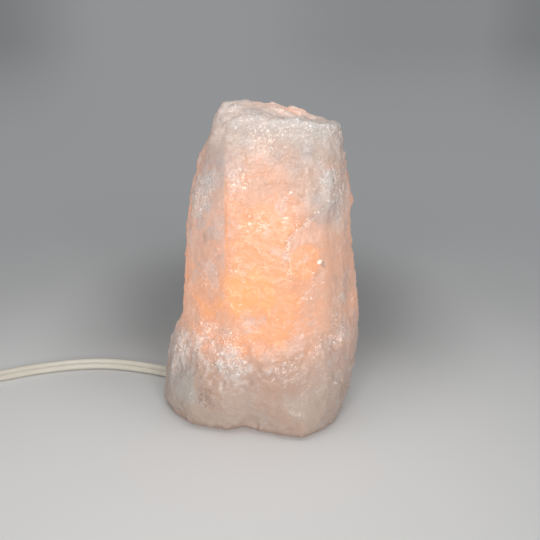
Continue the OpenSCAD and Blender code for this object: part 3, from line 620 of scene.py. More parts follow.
def breakStone(p, normals, edges, weight):
    # Breaks the points' surface in place, and gives each the shade of the last scoop that cut it
    rng = np.random.default_rng(stone["seed"])
    tone = np.zeros(len(p))

    def scoop(where, sizes):
        scoopOut(p, normals, weight, tone, np.nonzero(where)[0], sizes, rng)

    p += (neighbourMean(p, edges) - p) * (stone["firstSmooth"] * weight)[:, None]
    p += normals * (stone["swell"] * weight)[:, None]
    free = weight > 0.6
    z = p[:, 2] / mm
    front = free & (normals[:, 1] < stone["front"])
    crushed = front & (ridgeBand(p) > stone["ridgeChipped"])
    low, high = stone["calmBelow"]
    calm = front & ~crushed & (((z > low) & (z < high)) | (z > stone["calmAbove"]))
    rough = free & ~calm
    scoop(free & (z > stone["sweepsAbove"]), stone["sweeps"])
    scoop(rough, stone["scoops"])
    p[:, 1] += besideCrack(p) * weight * stone["crackStep"]
    sharp = standsOut(p, normals, edges)
    scoop(rough & (sharp > np.quantile(sharp[free], stone["chipEdges"])), stone["chips"])
    scoop(crushed, stone["ridgeChips"])
    fromChip = np.linalg.norm(p - np.array(stone["brightChipAt"]) * mm, axis=1)
    scoop(fromChip == fromChip.min(), stone["brightChip"])
    for _ in range(stone["spikePasses"]):
        spike = smoothStep(standsOut(p, normals, edges), stone["spike"], 2 * stone["spike"]) * weight
        p += (neighbourMean(p, edges) - p) * spike[:, None]
    tips = weight * np.where(rough, 1, stone["calmFacets"])
    breakFlat(p, normals, tips, np.nonzero(free)[0], stone["facets"], stone["facetTilt"], rng)
    breakFlat(p, normals, weight, np.nonzero(crushed)[0], stone["ridgeFacets"], stone["ridgeTilt"], rng)
    grain = np.array([noise.fractal(Vector(q) * stone["grainScale"], 0.8, 2.1, 4) for q in p])
    p += normals * (grain * stone["grain"] * mm * weight)[:, None]
    return tone


def makeStone():
    piece = fineCopy("rose_quartz_block", nodes["crystal_block"])
    mesh = piece.data
    p, normals, edges = meshArrays(mesh)
    weight = freeOfFittings(p)
    tone = breakStone(p, normals, edges, weight)
    edge = standsOut(p, normals, edges) * weight / mm
    for _ in range(stone["edgePasses"]):
        edge += (neighbourMean(edge, edges) - edge) * 0.5
    mesh.vertices.foreach_set("co", p.ravel())
    # What the material reads from the mesh
    traits = {"tone": tone, "edge": edge, "band": ridgeBand(p), "shelf": besideCrack(p), "sawn": 1 - weight}
    for name, values in traits.items():
        layer = mesh.attributes.new(name, "FLOAT", "POINT")
        layer.data.foreach_set("value", values)
    mesh.polygons.foreach_set("use_smooth", [True] * len(mesh.polygons))
    mesh.update()
    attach(piece, "rock")
    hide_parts("crystal_block")
    return piece


stonePiece = makeStone()
print("stone broken:", len(stonePiece.data.polygons), "faces")


# Rose quartz. The bulb's light inside it is painted as a glow that fades with distance.
quartz = {
    "ior": 1.54,
    "roughness": {"clear": 0.30, "frost": 0.30, "grit": 0.2, "sawn": 0.2},
    "glowHeight": 82 * mm,
    "glowNear": 30 * mm,
    "glowFade": 20 * mm,
    "glowReach": (0.88, 0.75, 0.60),  # the less, the further it reaches along x, y and z
    "glowUp": 0.15,  # taken off the last of them above the bulb
    "glowLow": 0.3,  # share of the glow that is left near the base
    "glowMost": 0.86,  # anywhere but in the heart
    "heart": ((-5, -38, 89), 18, 0.15),  # the brightest pane, in front of the bulb
    # Clearer panes deep in the stone that pass more light, or less where the number is negative
    "panes": [((-2, -36, 112), 16, 0.10), ((22, -36, 84), 11, -0.05), ((26, -34, 106), 11, 0.34),
              ((8, -38, 54), 11, 0.14), ((15, -38, 68), 8, 0.12), ((-32, -26, 92), 15, -0.14),
              ((14, -34, 134), 15, 0.08), ((-33, -34, 48), 10, 0.16), ((8, -44, 28), 10, 0.12),
              ((16, -44, 16), 10, 0.08)],
    # How much else changes the light: the first five either way, the next three up, the last two down
    "clear": 0.94,  # what an even bit of stone passes
    "passes": {"tone": 0.08, "cells": 0.22, "splits": 0.12, "veil": 0.36, "mottle": 0.34, "back": 0.12,
               "topRight": 0.3, "right": 0.4, "shadedLeftFacet": 0.32, "shelf": 0.16},
    "rim": 0.26,  # light added at the top face's thin rim
    # Colour of the painted light, and the stone's base colour, painted warmer and darker where the painted
    # glow is stronger, from where the glow is 0 to where it is 1
    "glow": [(0, (0.03, 0.018, 0.012)), (0.25, (0.19, 0.10, 0.07)), (0.5, (0.40, 0.20, 0.13)),
             (0.75, (0.60, 0.25, 0.128)), (1, (0.75, 0.318, 0.12))],
    "body": [(0, (0.37, 0.305, 0.26)), (0.25, (0.35, 0.27, 0.225)), (0.5, (0.32, 0.225, 0.175)),
             (0.75, (0.28, 0.165, 0.115)), (1, (0.27, 0.145, 0.08))],
    "unlit": (0.02, 0.014, 0.01),
    "milk": (0.41, 0.435, 0.42),
    # Grey clouds in the stone, and the painted shade on the shelf below the crack and the left face
    "grey": (0.40, 0.37, 0.365),
    "warm": (0.36, 0.235, 0.17),
    "deep": (0.15, 0.105, 0.08),
    "pale": (0.66, 0.63, 0.60),  # the top face, and the top of the left facet
    "frost": [(0.3, (0.44, 0.42, 0.40)), (0.7, (0.64, 0.62, 0.605))],
    # Colour of the painted highlights: glints on breaks and the lit side of the chip
    "glint": (0.95, 0.92, 0.88),
    # Dark colour of brown specks, cracks and flaws, and of the painted shade along the base and on the
    # chip's dark side
    "line": (0.30, 0.22, 0.18),
    # How strongly each layer covers the stone's base colour; painted shade and painted highlights are among
    # the layers
    "covers": {"milk": 0.7, "facetShade": 0.4, "haze": 0.6, "warm": 0.6, "light": 0.22, "dark": 0.25,
               "deep": 0.28, "pale": 0.5, "frost": 0.7, "chipLight": 0.9, "baseShade": 0.95, "crack": 0.35,
               "flaw": 0.5, "chipShade": 0.7},
    # How strongly each dims the light
    "dims": {"frost": 0.4, "brown": 0.5, "milk": 0.25, "crack": 0.6, "lines": 0.3, "haze": 0.22,
             "chipShade": 0.6},
    # Spots on the front: x, z and radius, and strength where it isn't the same for all
    "milkSpots": [(43, 146, 20), (-28, 176, 15), (50, 128, 13), (-48, 28, 17)],
    "deepSpots": [(12, 46, 24, 1), (14, 156, 20, 0.8), (-30, 112, 12, 0.7), (-28, 54, 11, 0.9)],
    # where fine curled breaks gather
    "curlSpots": [(-12, 154, 12, 0.6), (-3, 120, 17, 0.4), (-30, 96, 15, 0.45), (-22, 60, 18, 0.5),
                  (28, 84, 12, 0.35), (42, 62, 15, 0.4), (4, 172, 18, 0.35), (-38, 70, 14, 0.45),
                  (20, 132, 12, 0.4), (14, 50, 14, 0.35)],
    "chipLight": ((34.6, 106, 1.9), (37, 104.4, 2.2)),  # x, z and radius of the chip's painted highlight, and of its painted shade
    "brownSpot": ((-31, -30, 22), 12, 0.34),  # middle, radius and strength
    # Frosted patches: middle, radius and strength
    "frostSpots": [((-37, -12, 140), 20, 0.34), ((-30, -20, 152), 12, 0.22), ((36, -22, 156), 13, 0.16),
                   ((44, -14, 118), 20, 0.16), ((48, -22, 78), 18, 0.22), ((-12, -42, 52), 22, 0.06),
                   ((46, -12, 146), 22, 0.22), ((-31, -34, 51), 10, -0.3)],
    "ripples": [((-14, -32, 153), 12), ((-3, -36, 129), 14), ((16, -36, 132), 9), ((-14, -38, 104), 8)],
    "bumps": {"waves": 1.0 * mm, "grit": 0.28 * mm, "sugar": 0.32 * mm, "crack": 0.25 * mm},
}


def inMetres(place):
    return [v * mm for v in place]


def patches(s, place, spots, total=0):
    # Adds up round patches, given as middle, radius and strength
    for middle, radius, strength in spots:
        total = total + s.ball(place, inMetres(middle), radius * mm) * strength
    return total


def frontPatches(s, flat, front, spots):
    # The same on the front alone, given as x, z, radius and strength
    total = 0
    for x, z, radius, strength in spots:
        total = total + s.ball(flat, inMetres((x, 0, z)), radius * mm) * front * strength
    return total


def glintsOf(s, place, zones):
    # Painted highlights on small breaks: a few grains, and short curled strokes in two sizes
    grains = s.step(s.cells(s.warped(place, 3 * mm, 2 * mm), 2.2 * mm), 0.16, 0.06)
    few = s.step(s.noise(place, 8 * mm, 4, 0.7) + zones * 0.05, 0.60, 0.68)
    strokes = s.step(s.seam(s.warped(place, 5 * mm, 5 * mm), 4.5 * mm, 1), 0.03, 0.008)
    rare = s.step(s.noise(place, 2.4 * mm, 1), 0.54, 0.64)
    rare = rare * s.step(s.noise(place, 13 * mm, 4, 0.65) + zones * 0.12, 0.52, 0.66)
    fine = s.step(s.seam(s.warped(place, 3 * mm, 4 * mm), 2.4 * mm, 2), 0.05, 0.012)
    dense = s.step(s.noise(place, 1.7 * mm, 1), 0.48, 0.58) * s.step(zones, 0.26, 0.65)
    return s.most(grains * few * 0.6, s.most(strokes * rare * 0.75, fine * dense * 0.7))


def ripplesOf(s, place):
    # Painted highlights along fine level ripples in the clear stone, and the web of hair-thin whitish
    # strains all over it
    level = s.seam(s.vector("MULTIPLY", s.warped(place, 8 * mm, 5 * mm), (0.4, 0.4, 2.4)), 6 * mm, 2)
    here = 0
    for middle, radius in quartz["ripples"]:
        here = here + s.ball(place, inMetres(middle), radius * mm)
    broken = s.step(s.noise(place, 2.6 * mm, 2), 0.46, 0.58)
    web = s.seam(s.warped(place, 6 * mm, 7 * mm), 5 * mm, 4, 0.6)
    patchy = s.step(s.noise(place, 11 * mm, 3), 0.44, 0.6)
    ripples = s.step(level, 0.04, 0.01) * here * broken * 0.4
    return s.most(ripples, s.step(web, 0.03, 0.004) * patchy * 0.15)


def crackOf(s, place, y):
    # The long crack: a thin uneven line on the front that comes and goes
    bent = s.warped(s.warped(place, 5 * mm, 3.5 * mm), 14 * mm, 9 * mm)
    flat = s.vector("MULTIPLY", bent, (1, 0, 1))
    spots = [inMetres((x, 0, z)) for x, z in stone["crack"]]
    near = None
    for a, b in zip(spots, spots[1:]):
        far = s.fromSegment(flat, a, b)
        near = far if near is None else s.least(near, far)
    here = s.step(s.noise(place, 3 * mm, 2), 0.40, 0.50) * s.step(y, 0, -10 * mm)
    return s.step(near, 0.7 * mm, 0.15 * mm) * here, s.step(near, 2.4 * mm, 0.8 * mm)


def areasOf(s, x, y, z):
    # Masks of the stone's parts, and what the mesh holds at each point
    on = {name: s.trait(name) for name in ("tone", "edge", "band", "shelf", "sawn")}
    # The shelf below the crack, which gets painted shade, fading in from 106 to 120 mm high
    on["shelf"] = on["shelf"] * s.step(z, 106 * mm, 120 * mm)
    on["front"] = s.step(y, 4 * mm, -6 * mm)
    on["back"] = s.step(y, -20 * mm, 0)
    on["topRight"] = s.step(x, 42 * mm, 54 * mm) * s.step(z, 100 * mm, 125 * mm)
    on["right"] = s.step(x, 52 * mm, 58 * mm) * s.step(z, 50 * mm, 75 * mm) * s.step(z, 150 * mm, 120 * mm)
    # Painted shade: the face left of the long upright edge turns away from the light, so it is painted
    # greyer and passes less glow
    facetShade = s.step(x, -19.4 * mm, -20.6 * mm) * s.step(z, 92 * mm, 112 * mm) * s.step(y, 4 * mm, -4 * mm)
    on["shadedLeftFacet"] = facetShade * (1 - 0.7 * s.step(z, 155 * mm, 180 * mm))
    on["rim"] = s.step(z, 181 * mm, 188 * mm) * s.step(y, -10 * mm, 6 * mm) * s.step(x, -14 * mm, 20 * mm)
    return on


def glowOf(s, place, z, on):
    # How bright the bulb's light comes through. It reaches further up through the stone than down.
    wide, deep, tall = quartz["glowReach"]
    bentX, bentY, bentZ = s.split(s.warped(place, 22 * mm, 12 * mm))
    lift = (bentZ - quartz["glowHeight"]) * (tall - quartz["glowUp"] * s.step(z, 60 * mm, 90 * mm))
    far = s.vector("LENGTH", s.join(bentX * wide, bentY * deep, lift), output="Value")
    fade = s.node("Math", {"operation": "EXPONENT"}, {0: (quartz["glowNear"] - far) / quartz["glowFade"]})
    low = quartz["glowLow"] + (1 - quartz["glowLow"]) * s.step(z, 22 * mm, 64 * mm)
    glow = s.least(fade * low, 1.0)
    # Cells, small splits and veils inside the stone, and panes with uneven edges
    k = quartz["passes"]
    veil = s.noise(s.warped(place, 9 * mm, 5 * mm), 14 * mm, 5, 0.6) - 0.5
    cells = s.split(s.cells(s.warped(place, 16 * mm, 8 * mm), 19 * mm, output="Color"))[0] - 0.5
    splits = s.split(s.cells(s.warped(place, 6 * mm, 4 * mm), 7 * mm, output="Color"))[0] - 0.5
    share = quartz["clear"] + on["tone"] * k["tone"] + cells * k["cells"] + splits * k["splits"]
    share = share + veil * k["veil"] + (on["back"] * k["back"] + on["topRight"] * k["topRight"])
    share = share + on["mottle"] * k["mottle"] + on["right"] * k["right"]
    # Painted shade: the shaded left face and the shelf below the crack pass less glow
    share = share - on["shadedLeftFacet"] * k["shadedLeftFacet"] - on["shelf"] * k["shelf"]
    bent = s.warped(place, 30 * mm, 10 * mm)
    for middle, radius, more in quartz["panes"]:
        share = share + s.step(s.distance(bent, inMetres(middle)), radius * mm, radius * 0.75 * mm) * more
    middle, radius, more = quartz["heart"]
    heart = s.distance(s.warped(place, 13 * mm, 16 * mm), inMetres(middle))
    glow = s.least(glow * share, quartz["glowMost"])
    return glow + s.step(heart, radius * mm, radius * 0.6 * mm) * more + on["rim"] * quartz["rim"]


def layersOf(s, place, x, y, z, on):
    # Masks of what lies on the stone and in it, and of painted highlights and shade
    flat = s.vector("MULTIPLY", place, (1, 0, 1))
    front = on["front"]
    # Milky skin, smooth and cloudy, under the rim; rough white frost in patches and on the ridge
    cloud = s.noise(place, 16 * mm, 3, 0.5) - 0.5
    milk = s.step(z + x * 0.28 + cloud * 26 * mm, 158 * mm, 184 * mm)
    for a, b, radius in quartz["milkSpots"]:
        milk = s.most(milk, s.ball(flat, inMetres((a, 0, b)), radius * mm) * front * 0.8)
    zones = s.step(z + x * 0.2, 168 * mm, 190 * mm) * 0.24 + on["band"] * 0.34
    zones = patches(s, place, quartz["frostSpots"], zones) + s.step(y, 10 * mm, 34 * mm) * 0.1
    frost = s.step(s.noise(place, 7 * mm, 6, 0.62) + zones + on["edge"] * 0.8, 0.66, 0.92) * (1 - on["sawn"])
    # Painted highlights on small breaks, with the ripples and strains, more of them beside the crack and
    # where curls gather, few near the base
    crack, besideIt = crackOf(s, place, y)
    curls = frontPatches(s, flat, front, quartz["curlSpots"])
    gather = zones * 1.7 + milk * 0.2 + besideIt * 0.6 + curls
    bright = s.most(glintsOf(s, place, gather), ripplesOf(s, place))
    bright = bright * (1 - on["sawn"] * 0.8) * (0.25 + 0.75 * s.step(z, 12 * mm, 30 * mm))
    # The chip's painted highlight on one side and painted shade on the other
    uneven = s.warped(flat, 3 * mm, 1.5 * mm)
    chipLight, chipShade = [s.ball(uneven, inMetres((a, 0, b)), r * mm) * front for a, b, r in quartz["chipLight"]]
    # Grey clouds and thin dark flaws inside
    haze = s.noise(s.warped(place, 8 * mm, 6 * mm), 17 * mm, 6, 0.62)
    haze = haze + s.step(x, 30 * mm, 50 * mm) * 0.06 + s.step(x, -18 * mm, -30 * mm) * 0.06
    flaw = s.step(s.seam(s.warped(place, 4 * mm, 5 * mm), 6 * mm, 3), 0.02, 0.004)
    # Brown specks in one spot, warm clouds low down, the pale top, and painted shade darkening a thin band
    # along the base
    specks = patches(s, place, [quartz["brownSpot"]], s.noise(place, 2.2 * mm, 3, 0.7))
    warm = s.step(s.noise(place, 18 * mm, 3, 0.5), 0.5, 0.64) * s.step(z, 46 * mm, 34 * mm)
    pale = s.step(y, -24 * mm, -8 * mm) * s.step(z, 180 * mm, 186 * mm)
    speckle = s.noise(place, 2 * mm, 4, 0.75)
    return {
        "milk": milk, "frost": frost, "crack": crack, "bright": bright, "chipLight": chipLight, "chipShade": chipShade,
        "haze": s.step(haze, 0.54, 0.66), "flaw": flaw * s.step(s.noise(place, 9 * mm, 3, 0.7), 0.56, 0.64),
        "brown": s.step(specks, 0.78, 0.86), "warm": warm, "speckle": speckle,
        "deep": frontPatches(s, flat, front, quartz["deepSpots"]),
        "pale": s.most(pale, s.ball(flat, inMetres((-29, 0, 181)), 13 * mm) * front),
        "baseShade": s.step(z + (speckle - 0.5) * 5 * mm, 5.6 * mm, 2.8 * mm)}


def bodyOf(s, glow, on):
    # The stone's base colour, tinted with the painted glow, covered by one layer after another, painted
    # shade and highlights among them
    c = quartz["covers"]
    marks = s.most(on["crack"] * c["crack"], on["flaw"] * c["flaw"])
    layers = [
        (on["milk"] * c["milk"] * (1 - on["rim"]), quartz["milk"]),
        # Painted shade in grey on the shelf below the crack and the left face, and the grey clouds of the
        # haze
        (s.most(on["shelf"], on["shadedLeftFacet"]) * c["facetShade"] + on["haze"] * c["haze"], quartz["grey"]),
        (on["warm"] * c["warm"], quartz["warm"]),
        (s.step(on["mottle"], 0.06, 0.2) * c["light"], quartz["milk"]),
        (s.step(on["mottle"], -0.06, -0.2) * c["dark"], quartz["line"]),
        (on["deep"] * c["deep"], quartz["deep"]),
        (on["pale"] * c["pale"], quartz["pale"]),
        (on["frost"] * c["frost"], s.ramp(on["speckle"], quartz["frost"])),
        # Painted highlights on breaks and on the chip's lit side, with the whitish strains
        (s.most(on["bright"], on["chipLight"] * c["chipLight"]), quartz["glint"]),
        # Brown specks, the crack and thin flaws, and the painted shade along the base, in the dark line
        # colour
        (s.most(s.most(on["brown"], on["baseShade"] * c["baseShade"]), marks), quartz["line"]),
        (on["chipShade"] * c["chipShade"], quartz["line"]),
    ]
    body = s.ramp(glow, quartz["body"])
    for amount, colour in layers:
        body = s.blend(amount, body, colour)
    return body


def lightOf(s, glow, on):
    # The bulb's light, dimmed by what lies in front of it
    d = quartz["dims"]
    lines = s.most(on["crack"] * d["crack"], on["flaw"]) * d["lines"]
    dimmed = on["frost"] * d["frost"] + on["brown"] * d["brown"] + on["milk"] * d["milk"] * (1 - on["rim"])
    dimmed = dimmed + lines + on["haze"] * d["haze"] + on["chipShade"] * d["chipShade"]
    return s.blend(dimmed, s.ramp(glow, quartz["glow"]), quartz["unlit"])


def makeQuartz():
    s = Shader("rose quartz")
    place = s.place()
    x, y, z = s.split(place)
    on = areasOf(s, x, y, z)
    on["mottle"] = s.noise(s.warped(place, 3 * mm, 2 * mm), 3.2 * mm, 5, 0.7) - 0.5
    on.update(layersOf(s, place, x, y, z, on))
    glow = glowOf(s, place, z, on)
    grit = s.noise(place, 1.3 * mm, 5, 0.6)
    bumps = quartz["bumps"]
    normal = s.bump(s.noise(s.warped(place, 9 * mm, 6 * mm), 5.5 * mm, 4, 0.6), bumps["waves"])
    normal = s.bump(grit, bumps["grit"], normal)
    normal = s.bump(s.cells(place, 1.6 * mm) * on["frost"], bumps["sugar"], normal)
    normal = s.bump(1 - on["crack"], bumps["crack"], normal)
    r = quartz["roughness"]
    rough = r["clear"] + on["frost"] * r["frost"] + (grit - 0.5) * r["grit"] + on["sawn"] * r["sawn"]
    return s.finish({
        "Base Color": bodyOf(s, glow, on), "Roughness": rough, "IOR": quartz["ior"],
        "Emission Color": lightOf(s, glow, on), "Emission Strength": 1.0, "Normal": normal})


def wear(piece, material):
    piece.data.materials.clear()
    piece.data.materials.append(material)


wear(stonePiece, makeQuartz())
print("quartz made")


# Floor, lamps and world
studio = {
    "reach": 14,  # half the floor's side
    "sink": 0.2 * mm,  # how far the floor lies below the feet's height
    # The floor's colour in the painted pool of light round the rock, and further off
    "near": (0.80, 0.805, 0.80),
    "middle": (0.55, 0.555, 0.56),
    "roughness": 0.85,
    "drift": 0.06,  # how unevenly the floor fades, and over what size
    "driftSize": 0.5,
    # The painted shadow behind the rock: colour, strength, y of its middle, and how short it is along y
    "shade": (0.25, 0.252, 0.255),
    "shadeMost": 0.75,
    "shadeAt": 0.16,
    "shadeShort": 0.55,
    "shadeReach": (0.19, 0.07),  # from its edge to its full strength
    "shadeStart": (-0.05, 0.16),  # the y that it begins and is whole at
    # The backdrop's grey and the painted shade at its sides: x / y where they begin and are whole, and y
    # likewise
    "far": (0.285, 0.293, 0.30),
    # The painted shade at the backdrop's sides
    "corner": (0.19, 0.195, 0.20),
    "cameraAt": 0.6,  # what is added to y for it
    "bothSides": (0.14, 0.26),
    "rightSide": (-0.04, 0.1),
    "rightShare": 0.45,
    "sidesStart": (0.6, 3.0),
    "sidesEnd": (13, 6.2),  # and where they have gone and still are whole
    "pool": (-0.035, -0.06, 0),  # middle of the painted pool of light, the floor's brightest part
    "fadeFrom": 0.07,
    "fadeTo": 0.40,
    "ambient": (0.31, 0.31, 0.31),
    # Name, place, size and energy
    "lamps": [("left softbox", (-0.24, -1.25, 0.5), 0.3, 6.2),
              ("right softbox", (0.30, -1.25, 0.5), 0.3, 6.8),
              ("overhead softbox", (0.1, -0.1, 1.5), 1.3, 3.6)],
    "aim": (0, 0, 0.08),
}


def floorFinish():
    s = Shader("pale floor")
    place = s.place()
    x, y, _ = s.split(place)
    # A painted pool of light: pale near the rock, fading to the middle grey further off
    far = s.distance(place, studio["pool"])
    drift = (s.noise(place, studio["driftSize"], 2) - 0.5) * studio["drift"]
    fade = s.step(far + drift, studio["fadeFrom"], studio["fadeTo"])
    paint = s.blend(fade, studio["near"], studio["middle"])
    # A painted shadow: the floor is darker right behind the rock
    back = (y - studio["shadeAt"]) * studio["shadeShort"]
    behind = s.vector("LENGTH", s.join(x, back, 0.0), output="Value")
    behind = s.step(behind, *studio["shadeReach"]) * s.step(y, *studio["shadeStart"])
    paint = s.blend(behind * studio["shadeMost"], paint, studio["shade"])
    ground = s.node("BsdfPrincipled", {}, {"Base Color": paint, "Roughness": studio["roughness"]})
    # Far off, what the camera, mirrors and glass see is the plain backdrop's own grey, with painted shade at
    # the sides
    seen = s.node("LightPath", output="Is Camera Ray")
    for ray in ("Is Glossy Ray", "Is Transmission Ray"):
        seen = s.most(seen, s.node("LightPath", output=ray))
    across = x / (abs(y) + studio["cameraAt"])
    right = s.step(across, *studio["rightSide"]) * studio["rightShare"]
    aside = s.most(s.step(abs(across), *studio["bothSides"]), right)
    aside = aside * s.step(y, *studio["sidesStart"]) * s.step(y, *studio["sidesEnd"])
    grey = s.blend(aside, studio["far"], studio["corner"])
    backdrop = s.node("Emission", {}, {"Color": grey, "Strength": 1.0})
    gone = s.step(far, studio["fadeTo"] * 0.7, studio["fadeTo"] * 2) * seen
    s.node("OutputMaterial", {}, {"Surface": s.node("MixShader", {}, {0: gone, 1: ground, 2: backdrop})})
    return s.owner


def makeFloor():
    mesh = bpy.data.meshes.new("floor")
    r = studio["reach"]
    mesh.from_pydata([(-r, -r, 0), (r, -r, 0), (r, r, 0), (-r, r, 0)], [], [(0, 1, 2, 3)])
    floor = bpy.data.objects.new("floor", mesh)
    floor.location = (0, 0, -studio["sink"])
    bpy.context.scene.collection.objects.link(floor)
    wear(floor, floorFinish())


def makeLights():
    scene = bpy.context.scene
    scene.world = bpy.data.worlds.new("studio")
    s = Shader(scene.world)
    seen = s.node("LightPath", output="Is Camera Ray")
    colour = s.blend(seen, studio["ambient"], studio["far"])
    s.node("OutputWorld", {}, {"Surface": s.node("Background", {}, {"Color": colour, "Strength": 1.0})})
    for name, place, size, energy in studio["lamps"]:
        lamp = bpy.data.lights.new(name, "AREA")
        lamp.size = size
        lamp.energy = energy
        holder = bpy.data.objects.new(name, lamp)
        holder.location = place
        holder.rotation_euler = (Vector(studio["aim"]) - Vector(place)).to_track_quat("-Z", "Y").to_euler()
        scene.collection.objects.link(holder)
    scene.view_settings.view_transform = "Standard"


makeFloor()
makeLights()
print("studio lit")


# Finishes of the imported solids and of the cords, one for each material slot of the record.
# Grain, scratches, waves, lumps, flow and turn are in mm; patina is how far dull patches have spread.
mouldings = {
    "black_moulding": {"name": "black moulding", "colour": (0.018, 0.016, 0.015), "roughness": 0.42},
    "ivory_moulding": {"name": "ivory moulding", "colour": (0.66, 0.61, 0.52), "roughness": 0.30,
                       "grain": 0.04},
    "black_wire": {"name": "black wire", "colour": (0.012, 0.012, 0.013), "roughness": 0.34, "grain": 0.03},
    "white_wire": {"name": "white wire", "colour": (0.74, 0.73, 0.69), "roughness": 0.36, "grain": 0.03},
    "brown_moulding": {"name": "brown moulding", "colour": (0.10, 0.062, 0.040), "roughness": 0.36},
    "black_tie": {"name": "tie paper", "colour": (0.022, 0.022, 0.024), "roughness": 0.55, "grain": 0.10,
                  "sheen": 0.2},
}
metals = {
    "chromed_steel": {"name": "chromed steel", "colour": (0.60, 0.61, 0.63), "dull": (0.42, 0.41, 0.40),
                      "roughness": 0.12, "patina": 0.1, "scratches": 0.5},
    "zinc_steel": {"name": "zinc plated steel", "colour": (0.50, 0.52, 0.55), "dull": (0.56, 0.53, 0.44),
                   "roughness": 0.30, "patina": 0.4, "scratches": 0.25},
    "brass": {"name": "brass", "colour": (0.70, 0.49, 0.21), "dull": (0.38, 0.24, 0.10),
              "roughness": 0.22, "patina": 0.3, "scratches": 0.3},
    "nickel_wire": {"name": "nickel wire", "colour": (0.52, 0.50, 0.46), "dull": (0.36, 0.33, 0.28),
                    "roughness": 0.25, "patina": 0.2, "scratches": 0.2},
}
vinyl = {"colour": (0.60, 0.575, 0.52), "roughness": 0.42, "grain": 0.05}
rubber = {"colour": (0.72, 0.74, 0.72), "roughness": 0.28, "ior": 1.45, "clear": 0.55, "grain": 0.03}
bulbGlass = {"colour": (1.0, 0.96, 0.90), "glow": (0.30, 0.15, 0.05), "roughness": 0.03, "ior": 1.5,
             "waves": 0.15}
vitrite = {"colour": (0.010, 0.010, 0.012), "roughness": 0.10, "coat": 0.4, "flow": 0.06}
solder = {"colour": (0.50, 0.50, 0.51), "dull": (0.30, 0.29, 0.29), "roughness": 0.32, "lumps": 0.2}
filament = {"metal": (0.3, 0.2, 0.1), "crown": (1.0, 0.58, 0.22), "hollow": (1.0, 0.42, 0.12),
            "roughness": 0.4, "turn": 0.06, "strength": 14.0}
# What age does to plastic, as a share of its colour
ageing = {
    "clouded": 0.86,
    "dusty": 1.06,
    "dust": 0.012,  # added to it as well
    "yellowed": (0.97, 0.93, 0.84),
    "soiled": 0.72,
}


def moulded(name, colour, roughness, grain=0.05, sheen=0.0):
    # Moulded plastic: fine grain, faint clouding, and dull patches of dust
    s = Shader(name)
    place = s.place()
    fine = s.noise(place, 0.35 * mm, 3)
    broad = s.noise(place, 12 * mm, 3)
    dust = s.step(s.noise(place, 3 * mm, 5, 0.65), 0.52, 0.75)
    tint = tuple(c * ageing["clouded"] for c in colour)
    dusty = tuple(min(1, c * ageing["dusty"] + ageing["dust"]) for c in colour)
    paint = s.blend(dust * 0.5, s.blend(broad, colour, tint), dusty)
    return s.finish({"Base Color": paint, "Roughness": roughness + (fine - 0.5) * 0.14 + dust * 0.08,
                     "Sheen Weight": sheen, "Normal": s.bump(fine, grain * mm)})


def metal(name, colour, dull, roughness, patina, scratches):
    # Plated or bare metal: fine upright scratches, and dull patches that grow with the patina
    s = Shader(name)
    place = s.place()
    stretched = s.vector("MULTIPLY", place, (1, 1, 0.12))
    fine = s.noise(stretched, scratches * mm, 3, 0.7)
    spots = s.noise(place, 2.2 * mm, 5, 0.65)
    worn = s.step(spots, 0.62 - patina * 0.3, 0.86 - patina * 0.2)
    return s.finish({"Base Color": s.blend(worn, colour, dull), "Metallic": 1.0,
                     "Roughness": roughness + worn * 0.18 + (fine - 0.5) * 0.16,
                     "Normal": s.bump(fine, 0.012 * mm)})


def vinylCord():
    # Soft cord jacket with a fine grain, faintly yellowed, with grime pressed into it here and there
    s = Shader("ivory vinyl")
    place = s.place()
    colour = vinyl["colour"]
    fine = s.noise(place, 0.5 * mm, 4, 0.6)
    broad = s.noise(place, 20 * mm, 3)
    grime = s.step(s.noise(place, 5 * mm, 5, 0.7), 0.5, 0.82)
    yellowed = tuple(c * share for c, share in zip(colour, ageing["yellowed"]))
    soiled = tuple(c * ageing["soiled"] for c in colour)
    paint = s.blend(grime * 0.35, s.blend(broad, colour, yellowed), soiled)
    return s.finish({"Base Color": paint, "Roughness": vinyl["roughness"] + (fine - 0.5) * 0.2,
                     "Normal": s.bump(fine, vinyl["grain"] * mm)})


def clearRubber():
    s = Shader("clear rubber")
    fine = s.noise(s.place(), 0.6 * mm, 3)
    return s.finish({"Base Color": rubber["colour"], "Roughness": rubber["roughness"] + (fine - 0.5) * 0.2,
                     "IOR": rubber["ior"], "Transmission Weight": rubber["clear"],
                     "Normal": s.bump(fine, rubber["grain"] * mm)})


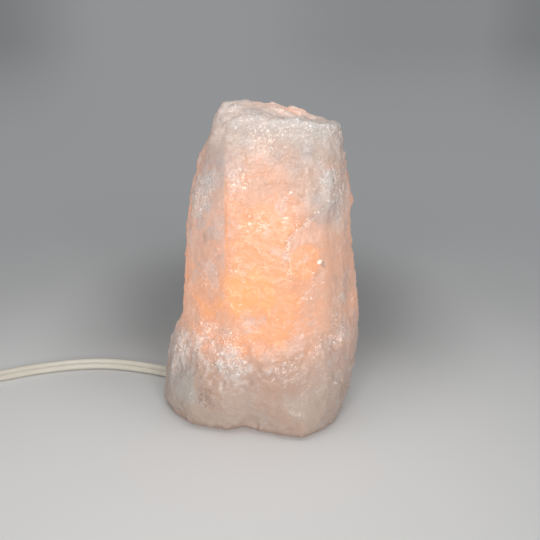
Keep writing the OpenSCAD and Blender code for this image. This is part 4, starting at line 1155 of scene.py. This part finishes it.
def clearGlass():
    # Blown glass with faint waves, with a painted warm glow from the filament inside it
    s = Shader("bulb glass")
    waves = s.noise(s.place(), 9 * mm, 2)
    return s.finish({"Base Color": bulbGlass["colour"], "IOR": bulbGlass["ior"],
                     "Roughness": bulbGlass["roughness"] + (waves - 0.5) * 0.03,
                     "Transmission Weight": 1.0, "Emission Color": bulbGlass["glow"],
                     "Emission Strength": 1.0, "Normal": s.bump(waves, bulbGlass["waves"] * mm)})


def blackGlass():
    s = Shader("black glass")
    flow = s.noise(s.place(), 1.5 * mm, 3)
    return s.finish({"Base Color": vitrite["colour"], "Roughness": vitrite["roughness"] + flow * 0.10,
                     "Coat Weight": vitrite["coat"], "Normal": s.bump(flow, vitrite["flow"] * mm)})


def solderBlob():
    s = Shader("solder")
    place = s.place()
    lumps = s.noise(place, 1.4 * mm, 3)
    worn = s.step(s.noise(place, 0.7 * mm, 4, 0.7), 0.45, 0.7)
    return s.finish({"Base Color": s.blend(worn, solder["colour"], solder["dull"]), "Metallic": 1.0,
                     "Roughness": solder["roughness"] + worn * 0.25,
                     "Normal": s.bump(lumps, solder["lumps"] * mm)})


def litCoil():
    # Turns of the filament's fine coil, bright along their crowns
    s = Shader("lit filament")
    x = s.split(s.place())[0]
    turns = s.node("Math", {"operation": "SINE"}, {0: x / (filament["turn"] * mm)}) * 0.5 + 0.5
    return s.finish({"Base Color": filament["metal"], "Roughness": filament["roughness"],
                     "Emission Color": s.blend(turns, filament["hollow"], filament["crown"]),
                     "Emission Strength": filament["strength"], "Normal": s.bump(turns, 0.03 * mm)})


def makeFinishes():
    made = {name: moulded(**settings) for name, settings in mouldings.items()}
    made.update({name: metal(**settings) for name, settings in metals.items()})
    made.update({"ivory_vinyl": vinylCord(), "clear_rubber": clearRubber(), "bulb_glass": clearGlass(),
                 "black_glass": blackGlass(), "solder": solderBlob(), "filament": litCoil()})
    return made


finishes = makeFinishes()
finishes["rose_quartz"] = stonePiece.data.materials[0]
slotOf = {entry["node"]: entry["material_slot"] for entry in frame["record"]["subparts"]}
for name, solid in nodes.items():
    wear(solid, finishes[slotOf[name]])
for piece in (leadCord, plugCord):
    wear(piece, finishes["ivory_vinyl"])
wear(tieStrap, finishes["black_tie"])
print("finishes on:", len(nodes), "packed solids in", len(finishes), "finishes")
